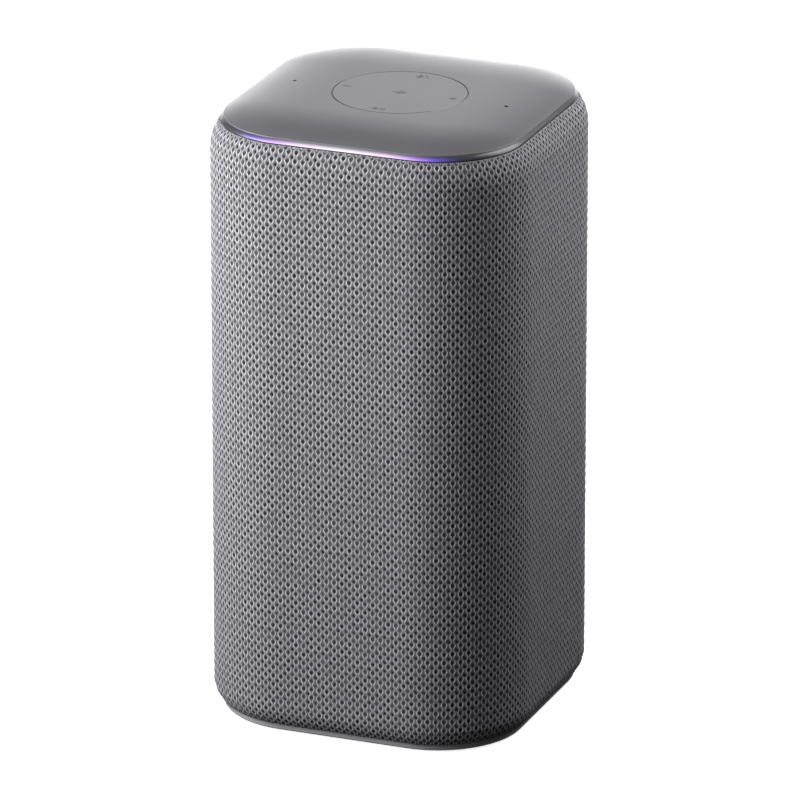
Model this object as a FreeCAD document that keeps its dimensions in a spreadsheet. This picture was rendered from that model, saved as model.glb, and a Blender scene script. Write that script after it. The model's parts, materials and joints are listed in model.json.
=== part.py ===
import FreeCAD, Part
import math
import os

import Sketcher
from FreeCAD import Placement, Rotation, Vector

# A table-top smart speaker: a rounded-square column wrapped in knitted fabric, with a domed plastic cap,
# a light band under the cap's edge, a touch disc, and a sealed cabinet with a down-firing woofer, two
# side passive radiators and three tweeters. +Z is up, -Y is the front, and the origin is on the table
# under the centre of the foot. All sizes are millimetres.

DRIVING = [
    # overall form
    ("body_width", 125.0), ("body_height", 236.5), ("corner_radius", 37.0),
    # fabric, and the perforated frame that it is stretched over
    ("fabric_thick", 1.2), ("frame_wall", 2.0), ("roll_radius", 11.0), ("roll_inset", 3.6),
    ("shoulder_radius", 16.0), ("shoulder_inset", 3.6), ("lip_width", 8.3), ("lip_thick", 2.2),
    ("slot_width", 3.2), ("slot_length", 23.0), ("slot_pitch", 7.0), ("slot_row_pitch", 30.0),
    # foot and base cover
    ("foot_height", 0.8), ("foot_width", 8.0), ("foot_groove", 0.8), ("foot_inset", 11.3),
    ("rim_height", 2.2), ("skirt_wall", 1.6), ("skirt_height", 4.0), ("rim_chamfer", 0.5),
    # clearances
    ("seat_gap", 0.3), ("slip_gap", 0.1), ("screw_gap", 0.1), ("screw_bite_gap", 0.5),
    # cap, light band and touch disc
    ("shadow_gap", 0.5), ("light_height", 1.3), ("light_inset", 1.2), ("light_width", 4.6),
    ("light_bulge", 0.2), ("cap_edge_height", 0.6), ("cap_dome_rise", 3.2), ("flat_corner", 3.0),
    ("disc_radius", 25.0), ("disc_thick", 1.2), ("disc_chamfer", 0.2), ("mic_reach", 42.0),
    ("mic_hole_radius", 0.55), ("mic_seal", 0.8), ("gasket_inset", 1.5),
    # printed marks on the touch disc
    ("icon_reach", 21.0), ("ink_thick", 0.05), ("icon_stroke", 0.45), ("icon_size", 3.2),
    ("capsule_radius", 0.55), ("capsule_length", 1.4), ("cradle_radius", 1.5), ("cradle_drop", 0.25),
    ("stand_length", 0.7), ("play_length", 2.0), ("play_back", 2.2), ("pause_near", 0.9), ("pause_far", 2.0),
    # chassis under the cap
    ("chassis_floor", 2.0), ("chassis_wall", 2.0), ("chassis_depth", 8.4), ("flange_thick", 1.2),
    ("ledge_width", 7.4), ("ledge_thick", 1.5), ("cover_boss_reach", 34.0), ("cover_boss_radius", 3.2),
    # cabinet
    ("air_gap", 3.3), ("cabinet_wall", 4.0), ("baffle_thick", 4.0), ("duct_height", 26.0),
    ("land_depth", 1.5), ("leg_radius", 4.5), ("leg_inset", 9.8), ("post_radius", 4.0),
    ("post_inset", 3.0), ("post_height", 14.0), ("lid_thick", 3.0), ("seal_thick", 1.0),
    ("seal_width", 3.0), ("seal_inset", 0.5),
    # woofer
    ("woofer_gap", 3.0), ("woofer_flange", 2.5), ("woofer_rim", 5.5), ("woofer_ear", 4.5),
    ("woofer_wall", 2.0), ("basket_depth", 26.0), ("magnet_seat_radius", 31.5), ("seat_plate", 2.0),
    ("woofer_screw_out", 2.0), ("basket_knee", 2.0), ("basket_bevel", 1.5), ("basket_wall_step", 0.6),
    ("window_half_width", 9.0), ("window_margin", 3.0), ("window_corner", 3.0), ("window_drop", 1.0),
    ("surround_glue", 3.0), ("surround_roll", 8.0), ("surround_rise", 4.0), ("surround_edge", 1.5),
    ("skin", 0.8),
    ("pole_radius", 12.0), ("coil_gap", 0.4), ("former_thick", 0.3), ("winding_thick", 0.9),
    ("winding_length", 10.0), ("former_tail", 4.0),
    ("top_plate_thick", 4.0), ("top_plate_inset", 1.0), ("magnet_thick", 14.0), ("magnet_radius", 34.0),
    ("magnet_bore_gap", 4.0), ("yoke_thick", 5.0), ("yoke_inset", 3.0), ("yoke_bevel", 1.5),
    ("spider_thick", 0.6), ("spider_land", 3.0), ("spider_drop", 3.0),
    ("dust_cap_radius", 16.0), ("dust_cap_rise", 5.0),
    ("diffuser_radius", 34.0), ("diffuser_height", 12.0), ("diffuser_brim", 3.0),
    # passive radiators
    ("radiator_half_width", 33.0), ("radiator_margin", 7.0), ("radiator_flange", 2.0),
    ("radiator_rim", 5.0), ("radiator_corner", 16.0), ("collar_depth", 4.0), ("collar_wall", 2.4),
    ("collar_corner", 21.0), ("plate_thick", 2.5), ("weight_radius", 10.0), ("weight_depth", 5.0),
    ("radiator_screw_inset", 7.0),
    # tweeters
    ("tweeter_bay", 54.0), ("tweeter_rise", 22.0), ("tweeter_radius", 22.0), ("tweeter_face", 2.0),
    ("tweeter_collar", 17.4), ("tweeter_depth", 3.0), ("dome_radius", 12.5), ("dome_rise", 3.6),
    ("pot_radius", 16.0), ("pot_depth", 15.0), ("pot_slot_depth", 8.0), ("carrier_wall", 3.0),
    ("throat_gap", 1.0), ("throat_flare", 3.0), ("faceplate_bevel", 0.5), ("dome_seat", 0.6),
    ("coil_end_gap", 2.0), ("tweeter_screw_out", 0.2), ("lug_wall", 1.0), ("lug_floor", 2.0),
    # electronics
    ("board_half", 40.0), ("board_half_depth", 32.0), ("board_thick", 1.6), ("standoff", 8.0),
    ("standoff_radius", 3.0),
    ("standoff_x", 35.0), ("standoff_y", 22.0), ("sink_half", 20.0), ("sink_base", 3.0),
    ("fin_height", 11.0), ("fin_thick", 1.4), ("chip_height", 1.2), ("touch_half", 28.0),
    ("board_corner", 5.0), ("touch_corner", 4.0), ("small_corner", 1.0),
    ("small_board", 1.2), ("connector_length", 12.0), ("connector_height", 5.0),
    ("connector_half_width", 2.5), ("plug_half_width", 2.0), ("plug_height", 2.0),
    ("cable_half_thick", 0.15), ("cable_inset", 1.0), ("cable_slot_half", 1.5),
    ("light_board_inset", 1.0), ("light_board_end", 4.0),
    ("led_length", 3.2), ("led_width", 1.6), ("led_pitch", 7.0), ("led_inset", 1.0),
    ("mic_board_half_width", 4.0), ("mic_board_half_depth", 3.0), ("mic_board_thick", 1.0),
    ("mic_port_radius", 0.4), ("mic_can_half_width", 1.9), ("mic_can_half_depth", 1.5),
    ("mic_can_height", 1.1), ("mic_gasket_radius", 2.4),
    # rear ports
    ("port_height", 18.8), ("bezel_half_width", 20.0), ("bezel_half_height", 7.8),
    ("bezel_corner", 3.5), ("pocket_half_width", 16.4), ("pocket_half_height", 5.4),
    ("pocket_wall", 1.2), ("pocket_depth", 10.0), ("pocket_back", 1.5), ("socket_reach", 8.0),
    ("power_bore", 2.9), ("power_pin", 1.0), ("power_depth", 9.5), ("power_width", 11.0),
    ("aux_bore", 1.8), ("aux_depth", 14.0), ("aux_width", 8.0), ("socket_wall", 0.7),
    ("socket_rise", 3.6), ("socket_back", 0.8), ("socket_corner", 0.5), ("pin_recess", 1.0),
    ("port_board_drop", 5.0), ("corner_step", 1.0),
    # screws
    ("screw_radius", 1.5), ("screw_head_radius", 2.6), ("screw_head", 1.2), ("screw_length", 8.0),
    ("small_screw_radius", 1.0), ("small_head_radius", 1.7), ("pilot_floor", 0.6), ("pilot_spare", 1.0),
    ("radiator_screw_bite", 0.8), ("tweeter_screw_bite", 0.5),
]

doc = FreeCAD.newDocument("smart_speaker")
sheet = doc.addObject("Spreadsheet::Sheet", "Dims")


class Size:
    """A length that knows both its present value and the expression that gives it from the sheet."""

    def __init__(self, value, text):
        self.value = float(value)
        self.text = text

    def _join(self, other, sign, value, flip=False):
        text = other.text if isinstance(other, Size) else repr(float(other))
        pair = (text, self.text) if flip else (self.text, text)
        return Size(value, "(%s %s %s)" % (pair[0], sign, pair[1]))

    def __add__(self, other):
        return self._join(other, "+", self.value + float(other))

    def __radd__(self, other):
        return self._join(other, "+", float(other) + self.value, True)

    def __sub__(self, other):
        return self._join(other, "-", self.value - float(other))

    def __rsub__(self, other):
        return self._join(other, "-", float(other) - self.value, True)

    def __mul__(self, other):
        return self._join(other, "*", self.value * float(other))

    def __rmul__(self, other):
        return self._join(other, "*", float(other) * self.value, True)

    def __truediv__(self, other):
        return self._join(other, "/", self.value / float(other))

    def __neg__(self):
        return Size(-self.value, "(0 - %s)" % self.text)

    def __float__(self):
        return self.value


def root(size):
    """The square root of a size."""
    return Size(math.sqrt(size.value), "sqrt(%s)" % size.text)


def sunk(radius, height):
    """How far an arc of this radius has turned in from its tangent line at this height along the line."""
    return radius - root(radius * radius - height * height)


def arc_radius(chord, rise):
    """The radius of an arc over this chord that stands this far above it."""
    return (chord * chord / 4 + rise * rise) / (rise * 2)


class Table:
    """The driving dimensions, each a Size bound to a cell of the sheet."""

    def __init__(self, rows):
        for number, (name, value) in enumerate(rows, 1):
            sheet.set("A%d" % number, name)
            sheet.set("B%d" % number, str(value))
            sheet.setAlias("B%d" % number, name)
            setattr(self, name, Size(value, "Dims." + name))


d = Table(DRIVING)
doc.recompute()

# What isn't a length
OVERRUN = 1  # how far a cut runs past the face that it starts from or comes out of
WOOFER_SCREW_ANGLE = 33.0
BASKET_WINDOWS = 6
SPIDER_WAVES = 4
SLOT_COLUMNS = 7
HEAT_SINK_FINS = 7
TWEETER_SCREW_ANGLES = (30, 150, 270)
LED_CORNER_ANGLES = (22.5, 45.0)
SLASH_ANGLE = 35
PLAY_SLOPE = 0.375  # half the play mark's height, as a share of an icon's size

# The level meter at the middle of the disc: each bar's place and height
METER_BARS = ((-2.4, 1.2), (-1.2, 2.6), (0, 3.8), (1.2, 2.6), (2.4, 1.2))

# What stands on the main board: left, right, front and back edges, and height
BOARD_BLOCKS = [
    (-13, 11, -16, 8, 3.0), (18, 33, -14, -2, 2.6),
    (-33, -26, -12, -5, 4.0), (-33, -26, 0, 7, 4.0), (-24, -17, -12, -5, 4.0), (-24, -17, 0, 7, 4.0),
    (-24, -14, -31, -26, 5.0), (-5, 5, -31, -26, 5.0), (14, 24, -31, -26, 5.0)]
BOARD_CANS = (-27, -18, 18, 27)  # the places of four capacitors in a row
CAN_RADIUS, CAN_HEIGHT, CAN_ROW = 3.6, 7.2, 27
AMPLIFIERS = ((-13, -4), (4, 13))  # left and right edges of the two chips under the board
AMPLIFIER_HALF_DEPTH = 4.5

# Heights, from the table up
half = d.body_width / 2
base_bottom = d.foot_height
fabric_bottom = base_bottom + d.rim_height
base_top = fabric_bottom + d.fabric_thick
roll_height = root(d.roll_radius * d.roll_radius
                   - (d.roll_radius - d.roll_inset) * (d.roll_radius - d.roll_inset))
wall_bottom = fabric_bottom + roll_height
cabinet_bottom = base_top + d.duct_height
baffle_top = cabinet_bottom + d.baffle_thick
fabric_top = d.body_height - d.cap_dome_rise - d.cap_edge_height - d.light_height - d.shadow_gap
shadow_top = fabric_top + d.shadow_gap
light_top = shadow_top + d.light_height
shoulder_height = root(d.shoulder_radius * d.shoulder_radius
                       - (d.shoulder_radius - d.shoulder_inset) * (d.shoulder_radius - d.shoulder_inset))
wall_top = fabric_top - shoulder_height
frame_bottom = base_top
frame_top = fabric_top - d.fabric_thick
chassis_bottom = fabric_top - d.chassis_depth
chassis_top = chassis_bottom + d.chassis_floor
lid_top = chassis_bottom - d.tweeter_bay
cabinet_top = lid_top - d.lid_thick - d.seal_thick
tweeter_height = lid_top + d.tweeter_rise
board_top = chassis_bottom - d.standoff
board_bottom = board_top - d.board_thick

# Half widths, from the outside in. A face that lies in from the fabric has a corner that much tighter.
fabric_inner = half - d.fabric_thick
frame_half = fabric_inner - d.slip_gap
frame_roll = d.roll_radius - d.fabric_thick - d.slip_gap
frame_shoulder = d.shoulder_radius - d.fabric_thick - d.slip_gap
frame_inner = frame_half - d.frame_wall
cabinet_half = frame_inner - d.air_gap
cabinet_inner = cabinet_half - d.cabinet_wall
land_half = cabinet_half - d.land_depth
cap_edge = half - d.shoulder_inset - d.seat_gap - d.light_inset
light_edge = cap_edge + d.light_inset
light_inner = light_edge - d.light_width
base_half = half - d.roll_inset - d.seat_gap
lip_inner = frame_half - d.lip_width
cap_flat = d.flat_corner + half - d.corner_radius


def corner_of(half_width):
    """The corner radius of a plan outline that is concentric with the fabric's."""
    return d.corner_radius - (half - half_width)


corner_centre = half - d.corner_radius
diagonal = math.sqrt(0.5)
leg_reach = corner_centre + (corner_of(cabinet_half) - d.leg_inset) * diagonal
post_reach = corner_centre + (corner_of(cabinet_inner) - d.post_inset) * diagonal

# Woofer, from its face up
woofer_radius = cabinet_inner - d.woofer_gap
woofer_face = cabinet_bottom - d.woofer_flange
woofer_hole = woofer_radius - d.woofer_rim + d.seat_gap * 2
woofer_drum = woofer_radius - d.woofer_rim
woofer_screw_reach = woofer_radius + d.woofer_screw_out
woofer_screw_x = woofer_screw_reach * math.cos(math.radians(WOOFER_SCREW_ANGLE))
woofer_screw_y = woofer_screw_reach * math.sin(math.radians(WOOFER_SCREW_ANGLE))
basket_top = cabinet_bottom + d.basket_depth
seat_bottom = basket_top - d.seat_plate
spider_top = seat_bottom - d.spider_drop
top_plate_top = basket_top + d.top_plate_thick
magnet_top = top_plate_top + d.magnet_thick
former_inner = d.pole_radius + d.coil_gap
former_outer = former_inner + d.former_thick
winding_outer = former_outer + d.winding_thick
gap_outer = winding_outer + d.coil_gap
roll_outer = woofer_radius - d.surround_glue - d.surround_edge
roll_inner = roll_outer - d.surround_roll
cone_lip = roll_inner
cone_edge = cone_lip - d.surround_glue
neck_top = spider_top - d.spider_thick - d.skin

# Passive radiators, whose height is what the cabinet leaves above the woofer's rim
radiator_bottom = baffle_top + d.basket_depth / 2 + d.radiator_margin
radiator_half_height = (cabinet_top - d.radiator_margin - radiator_bottom) / 2
radiator_height = radiator_bottom + radiator_half_height
collar_half = d.radiator_half_width - d.radiator_rim + d.collar_wall
collar_end = land_half - d.collar_depth
radiator_open = d.radiator_half_width - d.radiator_rim
radiator_plate_half = radiator_open - d.surround_roll - d.seat_gap

# Ports
port_face = half
pocket_floor = port_face - d.pocket_depth
socket_face = pocket_floor - d.pocket_back
port_board_top = d.port_height - d.port_board_drop

C = Sketcher.Constraint
ORIGIN, X_LINE, Y_LINE = -1, -1, -2
START, END, CENTRE = 1, 2, 3
EVEN = -1.0  # a pattern's mark for a step that keeps to the common spacing
NEAR = 0.01  # closer than this counts as the same level, and keeps a rounded end from closing up


class Drawing:
    """A sketch on one of a body's own planes, with every size in it bound to the sheet."""

    def __init__(self, body, name, plane, offset=None):
        self.sketch = body.newObject("Sketcher::SketchObject", name)
        own_plane = next(f for f in body.Origin.OriginFeatures if f.Role == plane)
        self.sketch.AttachmentSupport = [(own_plane, "")]
        self.sketch.MapMode = "FlatFace"
        if offset is not None:
            self.sketch.setExpression("AttachmentOffset.Base.z", offset.text)

    def _fix(self, kind, geometry, point, size):
        if not isinstance(size, Size):
            line = Y_LINE if kind == "DistanceX" else X_LINE
            self.sketch.addConstraint(C("PointOnObject", geometry, point, line))
            return
        index = self.sketch.addConstraint(C(kind, ORIGIN, START, geometry, point, size.value))
        self.sketch.setExpression("Constraints[%d]" % index, size.text)

    def _radius(self, geometry, size):
        index = self.sketch.addConstraint(C("Radius", geometry, size.value))
        self.sketch.setExpression("Constraints[%d]" % index, size.text)

    def circle(self, radius, u=0, v=0):
        first = self.sketch.GeometryCount
        centre = Vector(float(u), float(v), 0)
        self.sketch.addGeometry(Part.Circle(centre, Vector(0, 0, 1), radius.value), False)
        self._radius(first, radius)
        self._fix("DistanceX", first, CENTRE, u)
        self._fix("DistanceY", first, CENTRE, v)
        return self

    def four_circles(self, radius, u, v):
        for side_u in (u, -u):
            for side_v in (v, -v):
                self.circle(radius, side_u, side_v)
        return self

    def rounded(self, half_u, half_v, radius, v=0, u=0):
        """A rounded rectangle about the point (u, v)."""
        n = self.sketch.GeometryCount
        a, b, r, x, y = (float(s) for s in (half_u, half_v, radius, u, v))
        at = lambda across, up: Vector(x + across, y + up, 0)
        line = lambda x0, y0, x1, y1: Part.LineSegment(at(x0, y0), at(x1, y1))
        turn = lambda cx, cy, quarter: Part.ArcOfCircle(
            Part.Circle(at(cx, cy), Vector(0, 0, 1), r), quarter * math.pi / 2, (quarter + 1) * math.pi / 2)
        self.sketch.addGeometry([
            line(r - a, -b, a - r, -b), turn(a - r, r - b, -1),
            line(a, r - b, a, b - r), turn(a - r, b - r, 0),
            line(a - r, b, r - a, b), turn(r - a, b - r, 1),
            line(-a, b - r, -a, r - b), turn(r - a, r - b, 2)], False)
        self.sketch.addConstraint([C("Tangent", n + i, END, n + (i + 1) % 8, START) for i in range(8)])
        self.sketch.addConstraint([C("Horizontal", n), C("Horizontal", n + 4), C("Vertical", n + 2),
                                   C("Vertical", n + 6), C("Equal", n + 1, n + 3), C("Equal", n + 1, n + 5),
                                   C("Equal", n + 1, n + 7)])
        self._radius(n + 1, radius)
        self._fix("DistanceX", n + 2, START, u + half_u)
        self._fix("DistanceX", n + 6, START, u - half_u)
        self._fix("DistanceY", n + 4, START, v + half_v)
        self._fix("DistanceY", n, START, v - half_v)
        return self

    def ring(self, half_width, width):
        """Two outlines concentric with the fabric's plan, the second this width inside the first."""
        for size in (half_width, half_width - width):
            self.rounded(size, size, corner_of(size))
        return self

    def outline(self, points, arcs=None):
        """A closed outline. arcs gives, for a segment's number, its radius and the side it bulges to."""
        arcs = arcs or {}
        first = self.sketch.GeometryCount
        count = len(points)
        ends = []
        for i in range(count):
            p, q = (Vector(float(points[k % count][0]), float(points[k % count][1]), 0) for k in (i, i + 1))
            if i not in arcs:
                self.sketch.addGeometry(Part.LineSegment(p, q), False)
                ends.append((START, END))
                continue
            radius, bulge = arcs[i]
            along = q - p
            left = Vector(-along.y, along.x, 0) * (1 / along.Length)
            reach = math.sqrt(radius.value ** 2 - (along.Length / 2) ** 2)
            centre = (p + q) * 0.5 + left * (reach if bulge == "right" else -reach)
            start, end = (p, q) if bulge == "right" else (q, p)
            angles = [math.atan2(point.y - centre.y, point.x - centre.x) for point in (start, end)]
            circle = Part.Circle(centre, Vector(0, 0, 1), radius.value)
            self.sketch.addGeometry(Part.ArcOfCircle(circle, *angles), False)
            ends.append((START, END) if bulge == "right" else (END, START))
        for i in range(count):
            j = (i + 1) % count
            self.sketch.addConstraint(C("Coincident", first + i, ends[i][1], first + j, ends[j][0]))
        for i, (u, v) in enumerate(points):
            self._fix("DistanceX", first + i, ends[i][0], u)
            self._fix("DistanceY", first + i, ends[i][0], v)
        for i, (radius, _) in sorted(arcs.items()):
            self._radius(first + i, radius)
        return self


class Piece:
    """A sub-part made as one PartDesign body."""

    def __init__(self, label):
        self.body = doc.addObject("PartDesign::Body", label)
        self.body.Label = label
        self.count = 0

    def draw(self, plane="XY_Plane", offset=None):
        self.count += 1
        return Drawing(self.body, "%s_sketch%d" % (self.body.Label, self.count), plane, offset)

    def _feature(self, kind, drawing):
        self.count += 1
        name = "%s_%s%d" % (self.body.Label, kind.lower(), self.count)
        feature = self.body.newObject("PartDesign::" + kind, name)
        feature.Profile = drawing.sketch
        return feature

    def pad(self, drawing, length, down=False):
        feature = self._feature("Pad", drawing)
        feature.setExpression("Length", length.text)
        feature.Reversed = down
        return feature

    def cut(self, drawing, depth=None, forward=False, both=False):
        """Pockets against the plane's normal, or along it if forward; through everything with no depth."""
        feature = self._feature("Pocket", drawing)
        if both:
            feature.SideType = "Symmetric"
        feature.Reversed = forward
        if depth is None:
            feature.Type = "ThroughAll"
        else:
            feature.setExpression("Length", depth.text)
        return feature

    def turn(self, points, arcs=None):
        drawing = self.draw("XZ_Plane").outline(points, arcs)
        feature = self._feature("Revolution", drawing)
        feature.ReferenceAxis = (drawing.sketch, ["V_Axis"])
        feature.Angle = 360
        return feature

    def sweep(self, section, path):
        feature = self._feature("AdditivePipe", section)
        feature.Spine = (path.sketch, ["Edge%d" % (i + 1) for i in range(8)])
        return feature

    def pattern(self, feature, axis, count):
        """Repeats a feature evenly about an axis of the body."""
        polar = self.body.newObject("PartDesign::PolarPattern", self.body.Label + "_pattern")
        polar.Originals = [feature]
        polar.Axis = (next(f for f in self.body.Origin.OriginFeatures if f.Role == axis), [""])
        polar.Angle = 360
        polar.Occurrences = count
        self.body.Tip = polar
        return polar

    def grid(self, feature, first, second, counts, pitches):
        """Repeats a feature along two axes of its own sketch."""
        sketch = feature.Profile[0]
        grid = self.body.newObject("PartDesign::LinearPattern", self.body.Label + "_grid%d" % self.count)
        grid.Originals = [feature]
        grid.Direction, grid.Direction2 = (sketch, [first]), (sketch, [second])
        grid.Mode = grid.Mode2 = "Spacing"
        grid.Occurrences, grid.Occurrences2 = counts
        grid.Spacings, grid.Spacings2 = ([EVEN] * (count - 1) for count in counts)
        grid.setExpression("Offset", pitches[0].text)
        grid.setExpression("Offset2", pitches[1].text)
        self.body.Tip = grid
        return grid


NODES = []


def keep(thing):
    """Notes a finished sub-part."""
    NODES.append(thing.body if isinstance(thing, Piece) else thing)
    return NODES[-1]


def solids(label, shapes):
    """A sub-part that is a group of like solids, set out by Part's own functions from the sheet's sizes."""
    feature = doc.addObject("Part::Feature", label)
    feature.Label = label
    feature.Shape = shapes[0] if len(shapes) == 1 else Part.makeCompound(shapes)
    return keep(feature)


def mirrored(source, label):
    """The other hand of a sub-part, across the plane X = 0."""
    copy = doc.addObject("Part::Mirroring", label)
    copy.Label = label
    copy.Source = source
    copy.Normal = Vector(1, 0, 0)
    return keep(copy)


def block(x0, x1, y0, y1, z0, z1):
    """A solid box between two corners."""
    low, high = Vector(*map(float, (x0, y0, z0))), Vector(*map(float, (x1, y1, z1)))
    size = high - low
    return Part.makeBox(size.x, size.y, size.z, low)


def drum(radius, low, high, x=0.0, y=0.0):
    """A solid upright cylinder."""
    low, high = float(low), float(high)
    return Part.makeCylinder(float(radius), high - low, Vector(float(x), float(y), low))


def concentric_section(piece, points, arcs, path_half):
    """Sweeps a section, drawn on the +X side, round a plan outline concentric with the fabric's."""
    path = piece.draw().rounded(path_half, path_half, corner_of(path_half))
    section = piece.draw("XZ_Plane").outline(points, arcs)
    return piece.sweep(section, path)


# ---------------------------------------------------------------- outside

def make_foot_pad():
    piece = Piece("foot_pad")
    outer = half - d.foot_inset - d.slip_gap
    piece.pad(piece.draw().ring(outer, d.foot_width - d.slip_gap * 2), d.foot_height + d.foot_groove)
    keep(piece)


def make_base_cover():
    piece = Piece("base_cover")
    rim = piece.draw(offset=base_bottom).rounded(base_half, base_half, corner_of(base_half))
    rim_pad = piece.pad(rim, d.rim_height)
    doc.recompute()
    chamfer = piece.body.newObject("PartDesign::Chamfer", "base_cover_chamfer")
    chamfer.Base = (rim_pad, ["Edge%d" % (i + 1) for i, edge in enumerate(rim_pad.Shape.Edges)
                              if edge.BoundBox.ZMax < base_bottom.value + NEAR])
    chamfer.setExpression("Size", d.rim_chamfer.text)
    piece.body.Tip = chamfer
    step_half = frame_half - sunk(frame_roll, roll_height) - d.seat_gap
    step = piece.draw(offset=base_bottom).rounded(step_half, step_half, corner_of(step_half))
    piece.pad(step, base_top - base_bottom)
    piece.pad(piece.draw(offset=base_top).ring(lip_inner - d.seat_gap, d.skirt_wall), d.skirt_height)
    groove = piece.draw(offset=base_bottom).ring(half - d.foot_inset, d.foot_width)
    piece.cut(groove, d.foot_groove, forward=True)
    head = piece.draw(offset=base_bottom).four_circles(d.screw_head_radius + d.seat_gap, leg_reach, leg_reach)
    piece.cut(head, d.foot_groove + d.screw_head, forward=True)
    hole = piece.draw(offset=base_bottom).four_circles(d.screw_radius + d.screw_gap, leg_reach, leg_reach)
    piece.cut(hole, both=True)
    keep(piece)


def make_fabric_sleeve():
    piece = Piece("fabric_sleeve")
    inner_roll = d.roll_radius - d.fabric_thick
    inner_shoulder = d.shoulder_radius - d.fabric_thick
    points = [(half - d.roll_inset, fabric_bottom), (half, wall_bottom), (half, wall_top),
              (half - d.shoulder_inset, fabric_top),
              (fabric_inner - sunk(inner_shoulder, shoulder_height), fabric_top), (fabric_inner, wall_top),
              (fabric_inner, wall_bottom), (fabric_inner - sunk(inner_roll, roll_height), fabric_bottom)]
    arcs = {0: (d.roll_radius, "right"), 2: (d.shoulder_radius, "right"),
            4: (inner_shoulder, "left"), 6: (inner_roll, "left")}
    concentric_section(piece, points, arcs, fabric_inner)
    window = piece.draw("XZ_Plane").rounded(
        d.bezel_half_width + d.slip_gap, d.bezel_half_height + d.slip_gap, d.bezel_corner, v=d.port_height)
    piece.cut(window, forward=False)
    keep(piece)


def make_grille_frame():
    piece = Piece("grille_frame")
    roll, shoulder = frame_roll, frame_shoulder
    inner_shoulder = shoulder - d.frame_wall
    up, down = frame_top - wall_top, wall_bottom - frame_bottom
    knee = d.lip_thick
    points = [(lip_inner, frame_bottom), (frame_half - sunk(roll, down), frame_bottom),
              (frame_half, wall_bottom), (frame_half, wall_top), (frame_half - sunk(shoulder, up), frame_top),
              (frame_inner - sunk(inner_shoulder, up), frame_top), (frame_inner, wall_top),
              (frame_inner, wall_bottom + d.frame_wall / 2), (frame_inner - knee, frame_bottom + knee * 2),
              (lip_inner, frame_bottom + knee)]
    arcs = {1: (roll, "right"), 3: (shoulder, "right"), 5: (inner_shoulder, "left")}
    concentric_section(piece, points, arcs, frame_half)
    edge_column = -(d.slot_pitch * (SLOT_COLUMNS - 1) / 2)
    side_first = wall_bottom + d.frame_wall + d.slot_length / 2
    rows = int((wall_top.value - side_first.value - d.slot_length.value / 2) // d.slot_row_pitch.value) + 1
    slot = (d.slot_width / 2, d.slot_length / 2, d.slot_width / 2 - NEAR)
    for plane in ("YZ_Plane", "XZ_Plane"):
        across = plane == "XZ_Plane"
        start = side_first + d.slot_row_pitch if across else side_first
        drawing = piece.draw(plane).rounded(*slot, v=start, u=edge_column)
        feature = piece.cut(drawing, both=True)
        piece.grid(feature, "H_Axis", "V_Axis", (SLOT_COLUMNS, rows - 1 if across else rows),
                   (d.slot_pitch, d.slot_row_pitch))
    drawing = piece.draw("XZ_Plane").rounded(*slot, v=side_first, u=edge_column)
    feature = piece.cut(drawing, forward=True)
    front = piece.body.newObject("PartDesign::LinearPattern", "grille_frame_front")
    front.Originals = [feature]
    front.Direction = (drawing.sketch, ["H_Axis"])
    front.Mode = "Spacing"
    front.Occurrences = SLOT_COLUMNS
    front.setExpression("Offset", d.slot_pitch.text)
    piece.body.Tip = front
    window = piece.draw("XZ_Plane").rounded(
        d.pocket_half_width + d.pocket_wall + d.seat_gap, d.pocket_half_height + d.pocket_wall + d.seat_gap,
        d.bezel_corner - d.corner_step, v=d.port_height)
    piece.cut(window, forward=False)
    keep(piece)


def make_shadow_gasket():
    piece = Piece("shadow_gasket")
    gasket = piece.draw(offset=fabric_top).ring(light_edge - d.seat_gap, d.light_width - d.gasket_inset)
    piece.pad(gasket, d.shadow_gap)
    keep(piece)


def make_light_ring():
    piece = Piece("light_ring")
    points = [(light_inner, shadow_top), (light_edge, shadow_top), (cap_edge, light_top),
              (light_inner, light_top)]
    chord = root(d.light_inset * d.light_inset + d.light_height * d.light_height)
    concentric_section(piece, points, {1: (arc_radius(chord, d.light_bulge), "right")}, light_edge)
    keep(piece)


def make_top_cover():
    piece = Piece("top_cover")
    rim_top = light_top + d.cap_edge_height
    run = cap_edge - cap_flat
    dome = (run * run + d.cap_dome_rise * d.cap_dome_rise) / (d.cap_dome_rise * 2)
    points = [(cap_flat, light_top), (cap_edge, light_top), (cap_edge, rim_top), (cap_flat, d.body_height)]
    concentric_section(piece, points, {2: (dome, "right")}, cap_edge)
    middle = piece.draw(offset=light_top).rounded(cap_flat, cap_flat, d.flat_corner)
    piece.pad(middle, d.body_height - light_top)
    bosses = piece.draw(offset=light_top).four_circles(
        d.cover_boss_radius, d.cover_boss_reach, d.cover_boss_reach)
    piece.pad(bosses, light_top - chassis_top, down=True)
    recess = piece.draw(offset=d.body_height).circle(d.disc_radius + d.seat_gap)
    piece.cut(recess, d.disc_thick)
    mics = piece.draw(offset=d.body_height)
    mics.circle(d.mic_hole_radius, d.mic_reach).circle(d.mic_hole_radius, -d.mic_reach)
    piece.cut(mics, d.body_height - light_top + OVERRUN)
    pilots = piece.draw(offset=chassis_top).four_circles(
        d.small_screw_radius + d.screw_gap, d.cover_boss_reach, d.cover_boss_reach)
    piece.cut(pilots, d.screw_length - d.chassis_floor + d.screw_bite_gap, forward=True)
    keep(piece)


def make_touch_disc():
    piece = Piece("touch_disc")
    low, high, r = d.body_height - d.disc_thick, d.body_height, d.disc_radius
    piece.turn([(0, low), (r, low), (r, high - d.disc_chamfer), (r - d.disc_chamfer, high), (0, high)])
    keep(piece)


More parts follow.
